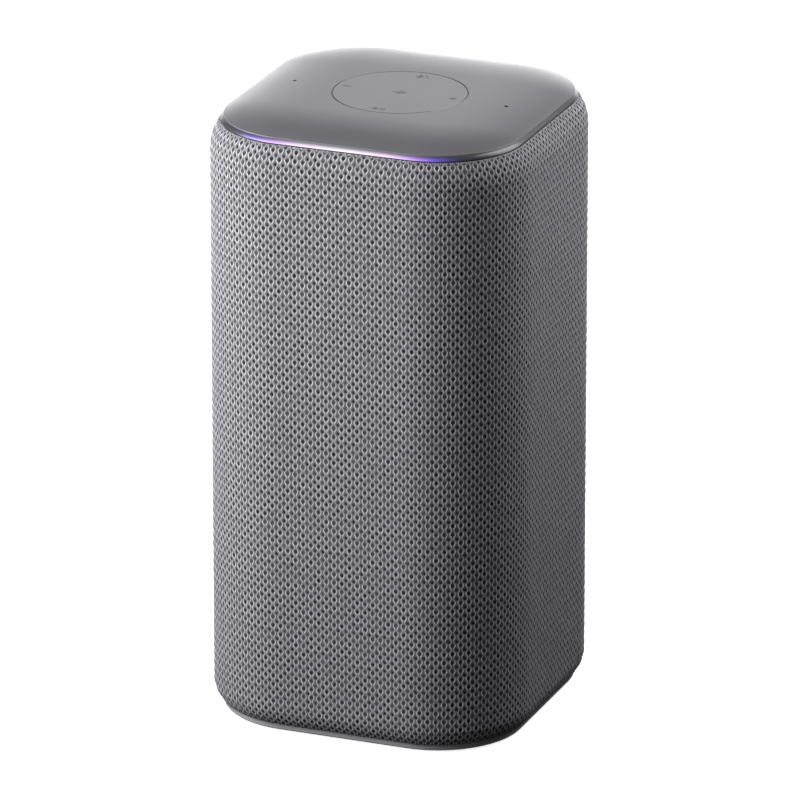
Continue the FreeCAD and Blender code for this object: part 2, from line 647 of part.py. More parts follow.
def make_control_icons():
    """Printed marks on the disc: minus, plus, play and pause, muted microphone, and a plain level meter."""
    z0, z1 = d.body_height, d.body_height + d.ink_thick
    reach, pen, size = (float(s) for s in (d.icon_reach, d.icon_stroke, d.icon_size))

    def mark(x, y, width, depth):
        """A flat bar about the point (x, y)."""
        width, depth = float(width), float(depth)
        return block(x - width / 2, x + width / 2, y - depth / 2, y + depth / 2, z0, z1)

    minus = mark(-reach, 0, size, pen)
    plus = mark(reach, 0, size, pen).fuse(mark(reach, 0, pen, size)).removeSplitter()
    back, rise = -float(d.play_back), size * PLAY_SLOPE
    corners = [Vector(back, -reach - rise, float(z0)), Vector(back + float(d.play_length), -reach, float(z0)),
               Vector(back, -reach + rise, float(z0))]
    play = Part.Face(Part.makePolygon(corners + corners[:1])).extrude(Vector(0, 0, float(d.ink_thick)))
    pause = [mark(float(x), -reach, pen, rise * 2) for x in (d.pause_near, d.pause_far)]
    capsule = mark(0, reach, d.capsule_radius * 2, d.capsule_length)
    for end in (d.capsule_length / 2, -d.capsule_length / 2):
        capsule = capsule.fuse(drum(d.capsule_radius, z0, z1, 0, reach + float(end)))
    seat = reach - float(d.cradle_drop)
    cradle = drum(d.cradle_radius, z0, z1, 0, seat).cut(drum(d.cradle_radius - pen, z0, z1, 0, seat))
    cradle = cradle.cut(block(-size / 2, size / 2, seat, seat + size / 2, z0, z1))
    stand_y = seat - float(d.cradle_radius + d.stand_length / 2)
    cradle = cradle.fuse(mark(0, stand_y, pen, d.stand_length))
    slash_x = size / 2 + 1
    slash = mark(slash_x, reach, pen, size)
    slash.rotate(Vector(slash_x, reach, 0), Vector(0, 0, 1), SLASH_ANGLE)
    bars = [mark(x, 0, pen, height) for x, height in METER_BARS]
    solids("control_icons", [minus, plus, play, *pause, capsule.removeSplitter(),
                             cradle.removeSplitter(), slash, *bars])


# ---------------------------------------------------------------- rear ports

def make_port_housing():
    piece = Piece("port_housing")
    wide, tall = d.pocket_half_width + d.pocket_wall, d.pocket_half_height + d.pocket_wall
    bezel = piece.draw("XZ_Plane", -frame_half).rounded(
        d.bezel_half_width, d.bezel_half_height, d.bezel_corner, v=d.port_height)
    piece.pad(bezel, half - frame_half, down=True)
    tub_corner = d.bezel_corner - d.corner_step
    tub = piece.draw("XZ_Plane", -socket_face).rounded(wide, tall, tub_corner, v=d.port_height)
    piece.pad(tub, frame_half - socket_face, down=True)
    pocket = piece.draw("XZ_Plane", -port_face).rounded(
        d.pocket_half_width, d.pocket_half_height, tub_corner - d.corner_step, v=d.port_height)
    piece.cut(pocket, d.pocket_depth, forward=True)
    holes = piece.draw("XZ_Plane", -port_face)
    holes.circle(d.power_bore + d.socket_wall / 2 + d.slip_gap, -d.socket_reach, d.port_height)
    holes.circle(d.aux_bore + d.socket_wall + d.slip_gap, d.socket_reach, d.port_height)
    piece.cut(holes, forward=True)
    keep(piece)


def make_socket(label, x, bore, wall, depth, width, pin=None):
    """A panel socket: a block on the port board with a round nose through the pocket's back wall."""
    piece = Piece(label)
    high = d.port_height + d.socket_rise
    middle, tall = (port_board_top + high) / 2, (high - port_board_top) / 2
    shell = piece.draw("XZ_Plane", -socket_face).rounded(width / 2, tall, d.socket_corner, v=middle, u=x)
    piece.pad(shell, depth - d.pocket_back + d.socket_back)
    nose = piece.draw("XZ_Plane", -socket_face).circle(bore + wall, x, d.port_height)
    piece.pad(nose, d.pocket_back, down=True)
    hole = piece.draw("XZ_Plane", -pocket_floor).circle(bore, x, d.port_height)
    piece.cut(hole, depth, forward=True)
    if pin is not None:
        stud = piece.draw("XZ_Plane", -(pocket_floor - depth)).circle(pin, x, d.port_height)
        piece.pad(stud, depth - d.pin_recess, down=True)
    keep(piece)


def make_ports():
    make_port_housing()
    make_socket("power_socket", -d.socket_reach, d.power_bore, d.socket_wall / 2, d.power_depth,
                d.power_width, d.power_pin)
    make_socket("aux_socket", d.socket_reach, d.aux_bore, d.socket_wall, d.aux_depth, d.aux_width)
    piece = Piece("port_board")
    deep = d.aux_depth / 2
    plan = piece.draw(offset=port_board_top).rounded(
        d.pocket_half_width, deep, d.small_corner, v=socket_face - deep)
    piece.pad(plan, d.small_board, down=True)
    keep(piece)


# ---------------------------------------------------------------- cabinet

def make_sound_diffuser():
    piece = Piece("sound_diffuser")
    r, foot, skin = d.diffuser_radius, d.skin * 2, d.skin * 2
    top = base_top + d.diffuser_height
    slope_foot, climb = r - d.diffuser_brim, d.diffuser_height - foot
    slope = arc_radius(root(slope_foot * slope_foot + climb * climb), skin)
    piece.turn([(0, base_top), (r, base_top), (r, base_top + foot), (slope_foot, base_top + foot), (0, top)],
               {3: (slope, "left")})
    inside = piece.draw(offset=base_top).circle(d.diffuser_radius / 4)
    piece.cut(inside, d.diffuser_height / 2, forward=True)
    keep(piece)


def make_cabinet():
    piece = Piece("cabinet")
    plan = piece.draw(offset=cabinet_bottom).rounded(cabinet_half, cabinet_half, corner_of(cabinet_half))
    piece.pad(plan, cabinet_top - cabinet_bottom)
    room = piece.draw(offset=cabinet_top).rounded(cabinet_inner, cabinet_inner, corner_of(cabinet_inner))
    piece.cut(room, cabinet_top - baffle_top)
    legs = piece.draw(offset=base_top).four_circles(d.leg_radius, leg_reach, leg_reach)
    piece.pad(legs, cabinet_bottom - base_top)
    posts = piece.draw(offset=cabinet_top).four_circles(d.post_radius, post_reach, post_reach)
    piece.pad(posts, d.post_height, down=True)
    hole = piece.draw(offset=baffle_top + OVERRUN).circle(woofer_hole)
    piece.cut(hole, d.baffle_thick + OVERRUN * 2)
    for level, reach, depth, up in ((base_top, leg_reach, d.screw_length + d.pilot_spare, True),
                                    (cabinet_top, post_reach, d.post_height - d.lug_floor, False)):
        pilots = piece.draw(offset=level).four_circles(d.screw_radius + d.screw_gap, reach, reach)
        piece.cut(pilots, depth, forward=up)
    pilots = piece.draw(offset=cabinet_bottom).four_circles(
        d.screw_radius + d.screw_gap, woofer_screw_x, woofer_screw_y)
    piece.cut(pilots, d.baffle_thick - d.pilot_floor, forward=True)
    flange = (d.radiator_half_width + d.seat_gap, radiator_half_height + d.seat_gap, d.radiator_corner)
    for side in (land_half, -land_half):
        land = piece.draw("YZ_Plane", side).rounded(*flange, v=radiator_height)
        piece.cut(land, d.land_depth + OVERRUN, forward=side.value > 0)
    tall = radiator_half_height - (d.radiator_half_width - collar_half)
    opening = piece.draw("YZ_Plane").rounded(
        collar_half + d.seat_gap, tall + d.seat_gap, d.collar_corner, v=radiator_height)
    piece.cut(opening, both=True)
    holes = piece.draw("YZ_Plane")
    for y, z in radiator_screw_places():
        holes.circle(d.small_screw_radius + d.screw_gap, y, z)
    piece.cut(holes, both=True)
    keep(piece)


def radiator_screw_places():
    """The four corners of a passive radiator's flange, as sizes along Y and Z."""
    y = d.radiator_half_width - d.radiator_screw_inset
    z = radiator_half_height - d.radiator_screw_inset
    return [(side_y, radiator_height + side_z) for side_y in (y, -y) for side_z in (z, -z)]


def make_cabinet_seal():
    piece = Piece("cabinet_seal")
    piece.pad(piece.draw(offset=cabinet_top).ring(cabinet_half - d.seal_inset, d.seal_width), d.seal_thick)
    keep(piece)


def make_cabinet_lid():
    piece = Piece("cabinet_lid")
    plan = piece.draw(offset=lid_top).rounded(cabinet_half, cabinet_half, corner_of(cabinet_half))
    piece.pad(plan, d.lid_thick, down=True)
    holes = piece.draw(offset=lid_top).four_circles(d.screw_radius + d.screw_gap, post_reach, post_reach)
    piece.cut(holes, d.lid_thick + OVERRUN)
    keep(piece)


# ---------------------------------------------------------------- woofer, facing down

def make_woofer():
    drum_inner = woofer_drum - d.woofer_wall
    seat = d.magnet_seat_radius
    shelf = seat - d.woofer_wall * 2.5
    knee = cabinet_bottom + d.baffle_thick + d.basket_knee
    step = d.basket_wall_step
    piece = Piece("woofer_basket")
    piece.turn([(drum_inner, woofer_face), (woofer_radius, woofer_face), (woofer_radius, cabinet_bottom),
                (woofer_drum, cabinet_bottom), (woofer_drum, knee), (seat, seat_bottom - d.basket_bevel),
                (seat, basket_top), (gap_outer, basket_top), (gap_outer, seat_bottom), (shelf, seat_bottom),
                (shelf, spider_top), (seat - d.woofer_wall + step, spider_top), (drum_inner, knee - step)])
    ears = piece.draw(offset=woofer_face).four_circles(d.woofer_ear, woofer_screw_x, woofer_screw_y)
    piece.pad(ears, d.woofer_flange)
    holes = piece.draw(offset=woofer_face).four_circles(
        d.screw_radius + d.screw_gap, woofer_screw_x, woofer_screw_y)
    piece.cut(holes, d.woofer_flange + OVERRUN, forward=True)
    bore = piece.draw(offset=woofer_face).circle(drum_inner)
    piece.cut(bore, d.woofer_flange, forward=True)
    window = piece.draw("YZ_Plane").rounded(
        d.window_half_width, (seat_bottom - knee) / 2 - d.window_margin, d.window_corner,
        v=(seat_bottom + knee) / 2 - d.window_drop)
    opening = piece.cut(window, forward=True)
    piece.pattern(opening, "Z_Axis", BASKET_WINDOWS)
    keep(piece)

    piece = Piece("woofer_top_plate")
    outer = d.magnet_seat_radius - d.top_plate_inset
    piece.turn([(gap_outer, basket_top), (outer, basket_top), (outer, top_plate_top),
                (gap_outer, top_plate_top)])
    keep(piece)

    piece = Piece("woofer_magnet")
    bore_radius = gap_outer + d.magnet_bore_gap
    piece.turn([(bore_radius, top_plate_top), (d.magnet_radius, top_plate_top), (d.magnet_radius, magnet_top),
                (bore_radius, magnet_top)])
    keep(piece)

    piece = Piece("woofer_yoke")
    top, outer, bevel = magnet_top + d.yoke_thick, d.magnet_radius - d.yoke_inset, d.yoke_bevel
    piece.turn([(0, basket_top), (d.pole_radius, basket_top), (d.pole_radius, magnet_top),
                (outer, magnet_top), (outer, top - bevel), (outer - bevel, top), (0, top)])
    keep(piece)

    piece = Piece("woofer_spider")
    inner, outer = former_outer + d.seat_gap, seat - d.woofer_wall
    step = (outer - d.spider_land - inner) / SPIDER_WAVES
    low = spider_top - d.spider_thick
    wave = arc_radius(step, d.skin)
    under = [(inner + step * i, low) for i in range(SPIDER_WAVES + 1)]
    over = [(inner + step * i, spider_top) for i in range(SPIDER_WAVES, -1, -1)]
    arcs = {i: (wave, "right" if i % 2 else "left") for i in range(SPIDER_WAVES)}
    back = SPIDER_WAVES + 3
    arcs.update({i: (wave, "left" if i % 2 else "right") for i in range(back, back + SPIDER_WAVES)})
    piece.turn(under + [(outer, low), (outer, spider_top)] + over, arcs)
    keep(piece)

    piece = Piece("woofer_coil")
    winding_over = (d.winding_length - d.top_plate_thick) / 2
    winding_top = top_plate_top + winding_over
    former_bottom = neck_top - d.former_tail
    piece.turn([(former_inner, former_bottom), (former_outer, former_bottom),
                (former_outer, basket_top - winding_over),
                (winding_outer, basket_top - winding_over), (winding_outer, winding_top),
                (former_inner, winding_top)])
    keep(piece)

    piece = Piece("woofer_cone")
    lip_top = woofer_face + d.skin
    neck = former_outer + d.seat_gap / 3
    piece.turn([(cone_edge, woofer_face), (cone_lip, woofer_face), (cone_lip, lip_top), (cone_edge, lip_top),
                (neck, neck_top), (neck, neck_top - d.skin * 1.5)])
    keep(piece)

    piece = Piece("woofer_dust_cap")
    slope = (neck_top - lip_top) / (cone_edge - neck)
    rim = d.dust_cap_radius
    rim_height = neck_top - (rim - neck) * slope - d.skin * 1.5 - d.seat_gap
    over = arc_radius(rim * 2, d.dust_cap_rise)
    under = arc_radius((rim - d.skin) * 2, d.dust_cap_rise - d.skin)
    piece.turn([(0, rim_height - d.dust_cap_rise), (rim, rim_height), (rim - d.skin, rim_height),
                (0, rim_height - d.dust_cap_rise + d.skin)], {0: (over, "right"), 2: (under, "left")})
    keep(piece)

    piece = Piece("woofer_surround")
    low = woofer_face - d.skin
    glue = d.surround_glue
    half_skin = d.skin / 2
    outer_arc = arc_radius(d.surround_roll + d.skin, d.surround_rise)
    inner_arc = arc_radius(d.surround_roll - d.skin, d.surround_rise - half_skin * 1.5)
    piece.turn([(roll_outer + glue, woofer_face), (roll_outer + glue, low), (roll_outer + half_skin, low),
                (roll_inner - half_skin, low), (cone_edge, low), (cone_edge, woofer_face),
                (roll_inner + half_skin, woofer_face), (roll_outer - half_skin, woofer_face)],
               {2: (outer_arc, "left"), 6: (inner_arc, "right")})
    keep(piece)


# ---------------------------------------------------------------- passive radiators, right then left

def make_radiators():
    wide, tall = d.radiator_half_width, radiator_half_height
    shrink = lambda size: tall - (wide - size)

    frame = Piece("right_radiator_frame")
    flange = frame.draw("YZ_Plane", land_half).rounded(wide, tall, d.radiator_corner, v=radiator_height)
    frame.pad(flange, d.radiator_flange)
    collar = frame.draw("YZ_Plane", collar_end).rounded(
        collar_half, shrink(collar_half), d.collar_corner, v=radiator_height)
    frame.pad(collar, d.collar_depth)
    opening = frame.draw("YZ_Plane", land_half).rounded(
        radiator_open, shrink(radiator_open), d.collar_corner - d.collar_wall, v=radiator_height)
    frame.cut(opening, both=True)
    holes = frame.draw("YZ_Plane", land_half)
    for y, z in radiator_screw_places():
        holes.circle(d.small_screw_radius + d.screw_gap, y, z)
    frame.cut(holes, both=True)

    surround = Piece("right_radiator_surround")
    roll_foot = radiator_open - d.surround_roll
    path = surround.draw("YZ_Plane").rounded(
        radiator_open, shrink(radiator_open), d.collar_corner - d.collar_wall, v=radiator_height)
    back, face = collar_end - d.skin, collar_end
    half_skin = d.skin / 2
    outer_arc = arc_radius(d.surround_roll, d.surround_rise - half_skin)
    inner_arc = arc_radius(d.surround_roll - d.skin * 2, d.surround_rise - d.skin * 1.6)
    edge = collar_half - d.slip_gap
    glue = roll_foot - d.surround_glue
    section = surround.draw("XY_Plane", radiator_height).outline(
        [(face, edge), (face, radiator_open), (face, roll_foot), (face, glue), (back, glue),
         (back, roll_foot + d.skin), (back, radiator_open - d.skin), (back, edge)],
        {1: (outer_arc, "left"), 5: (inner_arc, "right")})
    surround.sweep(section, path)

    plate = Piece("right_radiator_plate")
    blank = plate.draw("YZ_Plane", collar_end).rounded(
        radiator_plate_half, shrink(radiator_plate_half), d.collar_corner - d.collar_wall - d.surround_roll,
        v=radiator_height)
    plate.pad(blank, d.plate_thick)
    weight = plate.draw("YZ_Plane", collar_end).circle(d.weight_radius, 0, radiator_height)
    plate.pad(weight, d.weight_depth, down=True)

    for right in (frame, surround, plate):
        mirrored(keep(right), right.body.Label.replace("right", "left"))


# ---------------------------------------------------------------- tweeters and their carrier

TWEETERS = [("front", 0.0, -1.0), ("left", -1.0, 0.0), ("right", 1.0, 0.0)]


def face_out(body, x, y):
    """Puts a body that was drawn about its own Z axis on the carrier's side that faces (x, y)."""
    up = Vector(0, 0, 1)
    out = Vector(x, y, 0)
    body.Placement = Placement(Vector(), Rotation(up.cross(out), up, out, "ZYX"))
    for axis, share in (("x", x), ("y", y)):
        body.setExpression("Placement.Base.%s" % axis, (land_half * share).text)
    body.setExpression("Placement.Base.z", tweeter_height.text)


def make_tweeters():
    throat = d.dome_radius + d.throat_gap
    bevel = d.faceplate_bevel
    for side, x, y in TWEETERS:
        piece = Piece(side + "_tweeter_faceplate")
        piece.turn([(throat, -d.tweeter_depth), (d.tweeter_collar, -d.tweeter_depth), (d.tweeter_collar, 0),
                    (d.tweeter_radius, 0), (d.tweeter_radius, d.tweeter_face - bevel),
                    (d.tweeter_radius - bevel, d.tweeter_face), (throat + d.throat_flare, d.tweeter_face),
                    (throat, -d.tweeter_face / 2)])
        holes = piece.draw(offset=d.tweeter_face)
        for place_x, place_y in tweeter_screw_places():
            holes.circle(d.small_screw_radius + d.screw_gap, place_x, place_y)
        piece.cut(holes, d.tweeter_face + OVERRUN)
        face_out(piece.body, x, y)
        keep(piece)

        piece = Piece(side + "_tweeter_dome")
        foot, r, skin = d.dome_seat - d.tweeter_depth, d.dome_radius, d.former_thick
        tail = foot - d.pot_slot_depth + d.coil_end_gap
        over, under = arc_radius(r * 2, d.dome_rise), arc_radius((r - skin) * 2, d.dome_rise - skin)
        piece.turn([(r - skin, tail), (r, tail), (r, foot),
                    (0, foot + d.dome_rise), (0, foot + d.dome_rise - skin), (r - skin, foot)],
                   {2: (over, "right"), 4: (under, "left")})
        face_out(piece.body, x, y)
        keep(piece)

        piece = Piece(side + "_tweeter_magnet")
        front, back = -d.tweeter_depth, -d.tweeter_depth - d.pot_depth
        slot_floor = front - d.pot_slot_depth
        slot_in, slot_out = r - skin - d.coil_gap, r + d.coil_gap
        piece.turn([(0, back), (d.pot_radius, back), (d.pot_radius, front), (slot_out, front),
                    (slot_out, slot_floor), (slot_in, slot_floor), (slot_in, front), (0, front)])
        face_out(piece.body, x, y)
        keep(piece)


def tweeter_screw_places():
    """Three screws round a tweeter's faceplate, as sizes across it."""
    reach = (d.tweeter_collar + d.tweeter_radius) / 2 + d.tweeter_screw_out
    turns = [math.radians(angle) for angle in TWEETER_SCREW_ANGLES]
    return [(reach * math.cos(turn), reach * math.sin(turn)) for turn in turns]


def make_tweeter_carrier():
    piece = Piece("tweeter_carrier")
    piece.pad(piece.draw(offset=lid_top).ring(cabinet_half, d.carrier_wall), d.tweeter_bay)
    inner = corner_of(cabinet_half - d.carrier_wall)
    for level, thick, down in ((lid_top, d.carrier_wall, False), (chassis_bottom, d.post_height, True)):
        lugs = piece.draw(offset=level).four_circles(d.post_radius + d.lug_wall, post_reach, post_reach)
        piece.pad(lugs, thick, down=down)
        holes = piece.draw(offset=level).four_circles(d.screw_radius + d.screw_gap, post_reach, post_reach)
        piece.cut(holes, thick - d.lug_floor if down else thick + OVERRUN, forward=not down)
    sides = [("YZ_Plane", land_half, True), ("YZ_Plane", -land_half, False), ("XZ_Plane", land_half, True)]
    for plane, offset, forward in sides:
        seat = piece.draw(plane, offset).circle(d.tweeter_radius + d.seat_gap, 0, tweeter_height)
        piece.cut(seat, d.land_depth + OVERRUN, forward=forward)
        hole = piece.draw(plane, offset).circle(d.tweeter_collar + d.seat_gap, 0, tweeter_height)
        piece.cut(hole, d.carrier_wall + OVERRUN * 2, forward=not forward)
        pilots = piece.draw(plane, offset)
        for place_u, place_v in tweeter_screw_places():
            pilots.circle(d.small_screw_radius + d.screw_gap, place_u, tweeter_height + place_v)
        piece.cut(pilots, d.carrier_wall + OVERRUN * 2, forward=not forward)
    keep(piece)


# ---------------------------------------------------------------- chassis, boards and lights

def make_top_chassis():
    piece = Piece("top_chassis")
    flange_half = frame_half - sunk(frame_shoulder, shoulder_height) - d.seat_gap
    throat = frame_inner - sunk(frame_shoulder - d.frame_wall, frame_top - wall_top) - d.seat_gap
    floor = piece.draw(offset=chassis_bottom).rounded(throat, throat, corner_of(throat))
    piece.pad(floor, d.chassis_floor)
    piece.pad(piece.draw(offset=chassis_bottom).ring(throat, d.chassis_wall), fabric_top - chassis_bottom)
    flange_width = flange_half - throat + d.chassis_wall
    piece.pad(piece.draw(offset=frame_top).ring(flange_half, flange_width), d.flange_thick)
    ledge_top = shadow_top - d.small_board - d.slip_gap
    lap = d.chassis_wall / 2
    ledge = piece.draw(offset=ledge_top).ring(throat - lap, d.ledge_width + lap)
    piece.pad(ledge, d.ledge_thick, down=True)
    posts = piece.draw(offset=chassis_bottom).four_circles(d.standoff_radius, d.standoff_x, d.standoff_y)
    piece.pad(posts, d.standoff, down=True)
    for radius, reach in ((d.screw_radius, post_reach), (d.small_screw_radius, d.cover_boss_reach)):
        holes = piece.draw(offset=chassis_top).four_circles(radius + d.screw_gap, reach, reach)
        piece.cut(holes, d.chassis_floor + OVERRUN)
    driver = piece.draw(offset=fabric_top).four_circles(
        d.screw_head_radius + d.seat_gap, post_reach, post_reach)
    piece.cut(driver, fabric_top - chassis_top)
    pilots = piece.draw(offset=board_top).four_circles(
        d.small_screw_radius + d.screw_gap, d.standoff_x, d.standoff_y)
    piece.cut(pilots, d.standoff - d.pilot_spare, forward=True)
    slot = piece.draw(offset=chassis_top).rounded(
        d.connector_length / 2 + d.cable_inset, d.cable_slot_half, d.small_corner, v=d.standoff_y)
    piece.cut(slot, d.chassis_floor + OVERRUN)
    keep(piece)
    return throat, ledge_top


def make_light_board(throat, ledge_top):
    """The LED board lies along the front edge and turns with both front corners."""
    piece = Piece("light_board")
    outer = throat - d.chassis_wall - d.slip_gap
    piece.pad(piece.draw(offset=ledge_top).ring(outer, d.ledge_width - d.light_board_inset), d.small_board)
    rear = piece.draw(offset=ledge_top).rounded(
        half, half, d.small_corner, v=half - corner_centre - d.light_board_end)
    piece.cut(rear, d.small_board + OVERRUN, forward=True)
    keep(piece)

    led_half = float(outer - d.led_inset)
    corner = float(corner_centre)
    radius = led_half - corner
    led = block(-d.led_length / 2, d.led_length / 2, -d.led_width / 2, d.led_width / 2,
                ledge_top + d.small_board, light_top - d.slip_gap * 2)
    leds = []
    spacing = float(d.led_pitch)
    straight = int(corner // spacing)
    for i in range(-straight, straight + 1):
        leds.append(led.translated(Vector(i * spacing, -led_half, 0)))
    for side in (-1, 1):
        for angle in LED_CORNER_ANGLES:
            turned = led.translated(Vector(0, -radius, 0))
            turned.rotate(Vector(), Vector(0, 0, 1), side * angle)
            leds.append(turned.translated(Vector(side * corner, -corner, 0)))
    solids("light_leds", leds)


def make_boards():
    piece = Piece("touch_board")
    plan = piece.draw(offset=light_top).rounded(d.touch_half, d.touch_half, d.touch_corner)
    piece.pad(plan, d.small_board, down=True)
    keep(piece)

    piece = Piece("main_board")
    plan = piece.draw(offset=board_bottom).rounded(d.board_half, d.board_half_depth, d.board_corner)
    piece.pad(plan, d.board_thick)
    holes = piece.draw(offset=board_top).four_circles(
        d.small_screw_radius + d.screw_gap, d.standoff_x, d.standoff_y)
    piece.cut(holes, d.board_thick + OVERRUN)
    keep(piece)

    top, low = float(board_top), float(board_bottom)
    parts = [block(x0, x1, y0, y1, top, top + height) for x0, x1, y0, y1, height in BOARD_BLOCKS]
    parts += [drum(CAN_RADIUS, top, top + CAN_HEIGHT, x, CAN_ROW) for x in BOARD_CANS]
    parts += [block(x0, x1, -AMPLIFIER_HALF_DEPTH, AMPLIFIER_HALF_DEPTH, low - float(d.chip_height), low)
              for x0, x1 in AMPLIFIERS]
    long, socket_top = d.connector_length / 2, board_top + d.connector_height
    parts.append(block(-long, long, d.standoff_y - d.connector_half_width,
                       d.standoff_y + d.connector_half_width, top, socket_top))
    solids("board_components", parts)

    sink_top = board_bottom - d.chip_height
    sink = block(-d.sink_half, d.sink_half, -d.sink_half, d.sink_half, sink_top - d.sink_base, sink_top)
    pitch = (2 * float(d.sink_half) - float(d.fin_thick)) / (HEAT_SINK_FINS - 1)
    for i in range(HEAT_SINK_FINS):
        x = i * pitch - float(d.sink_half)
        sink = sink.fuse(block(x, x + d.fin_thick, -d.sink_half, d.sink_half,
                               sink_top - d.sink_base - d.fin_height, sink_top - d.sink_base))
    solids("heat_sink", [sink.removeSplitter()])

    under = light_top - d.small_board
    plug_bottom = under - d.plug_height
    plug = block(-long, long, d.standoff_y - d.plug_half_width, d.standoff_y + d.plug_half_width,
                 plug_bottom, under)
    strip = block(d.cable_inset - long, long - d.cable_inset, d.standoff_y - d.cable_half_thick,
                  d.standoff_y + d.cable_half_thick, socket_top, plug_bottom)
    solids("ribbon_cable", [plug.fuse(strip).removeSplitter()])


def make_microphones():
    """Each microphone listens through a rubber gasket under its hole in the cap."""
    gaskets, microphones = [], []
    seal_low = light_top - d.mic_seal
    board_low = seal_low - d.mic_board_thick
    wide, deep = float(d.mic_board_half_width), float(d.mic_board_half_depth)
    can_wide, can_deep = float(d.mic_can_half_width), float(d.mic_can_half_depth)
    for x in (float(d.mic_reach), -float(d.mic_reach)):
        bore = drum(d.mic_hole_radius, seal_low, light_top, x)
        gaskets.append(drum(d.mic_gasket_radius, seal_low, light_top, x).cut(bore))
        port = drum(d.mic_port_radius, board_low, seal_low, x)
        carrier = block(x - wide, x + wide, -deep, deep, board_low, seal_low).cut(port)
        can = block(x - can_wide, x + can_wide, -can_deep, can_deep, board_low - d.mic_can_height, board_low)
        microphones.append(carrier.fuse(can))
    solids("mic_gaskets", gaskets)
    solids("microphones", microphones)


# ---------------------------------------------------------------- screws

# A head's rounding and the floor of its cross, as shares of its height; the cross's reach and half
# width, as shares of its radius
HEAD_ROUND, CROSS_FLOOR, CROSS_ARM, CROSS_SLOT = 0.3, 0.4, 0.6, 0.12


def screw(radius, head_radius, length):
    """A cross-head screw whose head's underside is at the origin and whose shank runs down -Z."""
    radius, head_radius, length, head = (float(s) for s in (radius, head_radius, length, d.screw_head))
    shape = drum(radius, -length, 0).fuse(drum(head_radius, 0, head)).removeSplitter()
    edge = [e for e in shape.Edges if abs(e.BoundBox.ZMin - head) < NEAR and len(e.Vertexes) == 1]
    shape = shape.makeFillet(head * HEAD_ROUND, edge)
    arm, slot = head_radius * CROSS_ARM, head_radius * CROSS_SLOT
    for x, y in ((arm, slot), (slot, arm)):
        shape = shape.cut(block(-x, x, -y, y, head * CROSS_FLOOR, head + OVERRUN))
    return shape


def screws_at(model, places, toward):
    """Copies a screw to each place, its shank pointing the way that toward says."""
    turn = Rotation(Vector(0, 0, -1), Vector(*toward))
    copies = []
    for place in places:
        copy = model.copy()
        copy.Placement = Placement(Vector(*(float(v) for v in place)), turn)
        copies.append(copy)
    return copies


def four_places(x, y, height):
    """Four places at the corners of a rectangle."""
    return [(sx * float(x), sy * float(y), height) for sx in (1, -1) for sy in (1, -1)]


def make_screws():
    up, down = (0, 0, 1), (0, 0, -1)
    bite = d.baffle_thick - d.pilot_spare
    long = screw(d.screw_radius, d.screw_head_radius, d.screw_length)
    short = screw(d.screw_radius, d.screw_head_radius, d.woofer_flange + bite)
    head_seat = base_bottom + d.foot_groove + d.screw_head
    solids("base_screws", screws_at(long, four_places(leg_reach, leg_reach, head_seat), up))
    lid_seat = lid_top + d.carrier_wall
    solids("lid_screws", screws_at(long, four_places(post_reach, post_reach, lid_seat), down))
    solids("chassis_screws", screws_at(long, four_places(post_reach, post_reach, chassis_top), down))
    solids("woofer_screws", screws_at(short, four_places(woofer_screw_x, woofer_screw_y, woofer_face), up))

    small = screw(d.small_screw_radius, d.small_head_radius, d.carrier_wall + d.tweeter_screw_bite)
    fine_length = d.radiator_flange + d.land_depth + d.radiator_screw_bite
    fine = screw(d.small_screw_radius, d.small_head_radius, fine_length)
    held = []
    for side in (1, -1):
        x = side * float(land_half + d.radiator_flange)
        places = [(x, float(y), float(z)) for y, z in radiator_screw_places()]
        held += screws_at(fine, places, (-side, 0, 0))
    solids("radiator_screws", held)
    held = []
    level = float(land_half + d.tweeter_face)
    for _, x, y in TWEETERS:
        for u, v in tweeter_screw_places():
            place = (x * level - y * float(u), y * level + x * float(u), float(tweeter_height + v))
            held += screws_at(small, [place], (-x, -y, 0))
    solids("tweeter_screws", held)


def build():
    make_foot_pad()
    make_base_cover()
    make_fabric_sleeve()
    make_grille_frame()
    make_shadow_gasket()
    make_light_ring()
    make_top_cover()
    make_touch_disc()
    make_control_icons()
    make_ports()
    make_sound_diffuser()
    make_cabinet()
    make_cabinet_seal()
    make_cabinet_lid()
    make_woofer()
    make_radiators()
    make_tweeters()
    make_tweeter_carrier()
    throat, ledge_top = make_top_chassis()
    make_light_board(throat, ledge_top)
    make_boards()
    make_microphones()
    make_screws()
    doc.recompute()


def check():
    """Stops the build if any object failed or any sub-part isn't a valid solid."""
    failed = [o.Name for o in doc.Objects if {"Invalid", "Error"} & set(o.State)]
    assert not failed, "objects that failed: %s" % failed
    for node in NODES:
        shape = node.Shape
        good = not shape.isNull() and shape.isValid() and shape.Solids
        assert good, "%s is not a valid solid" % node.Label
    labels = [node.Label for node in NODES]
    assert len(set(labels)) == len(labels), "two sub-parts share a label"


def export():
    os.makedirs("parts", exist_ok=True)
    for node in NODES:
        node.Shape.exportStep(os.path.join("parts", node.Label + ".step"))


build()
check()
export()
print("%d nodes, %d solids" % (len(NODES), sum(len(n.Shape.Solids) for n in NODES)))
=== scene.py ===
"""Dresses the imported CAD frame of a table-top smart speaker: a knitted sleeve over a rounded-square column,
a satin cap with a touch disc, and a band of light under the cap's edge. Lengths are metres, +Z is up, and
-Y is the front."""

from __future__ import annotations

import json
import logging
import math
from dataclasses import dataclass
from enum import Enum

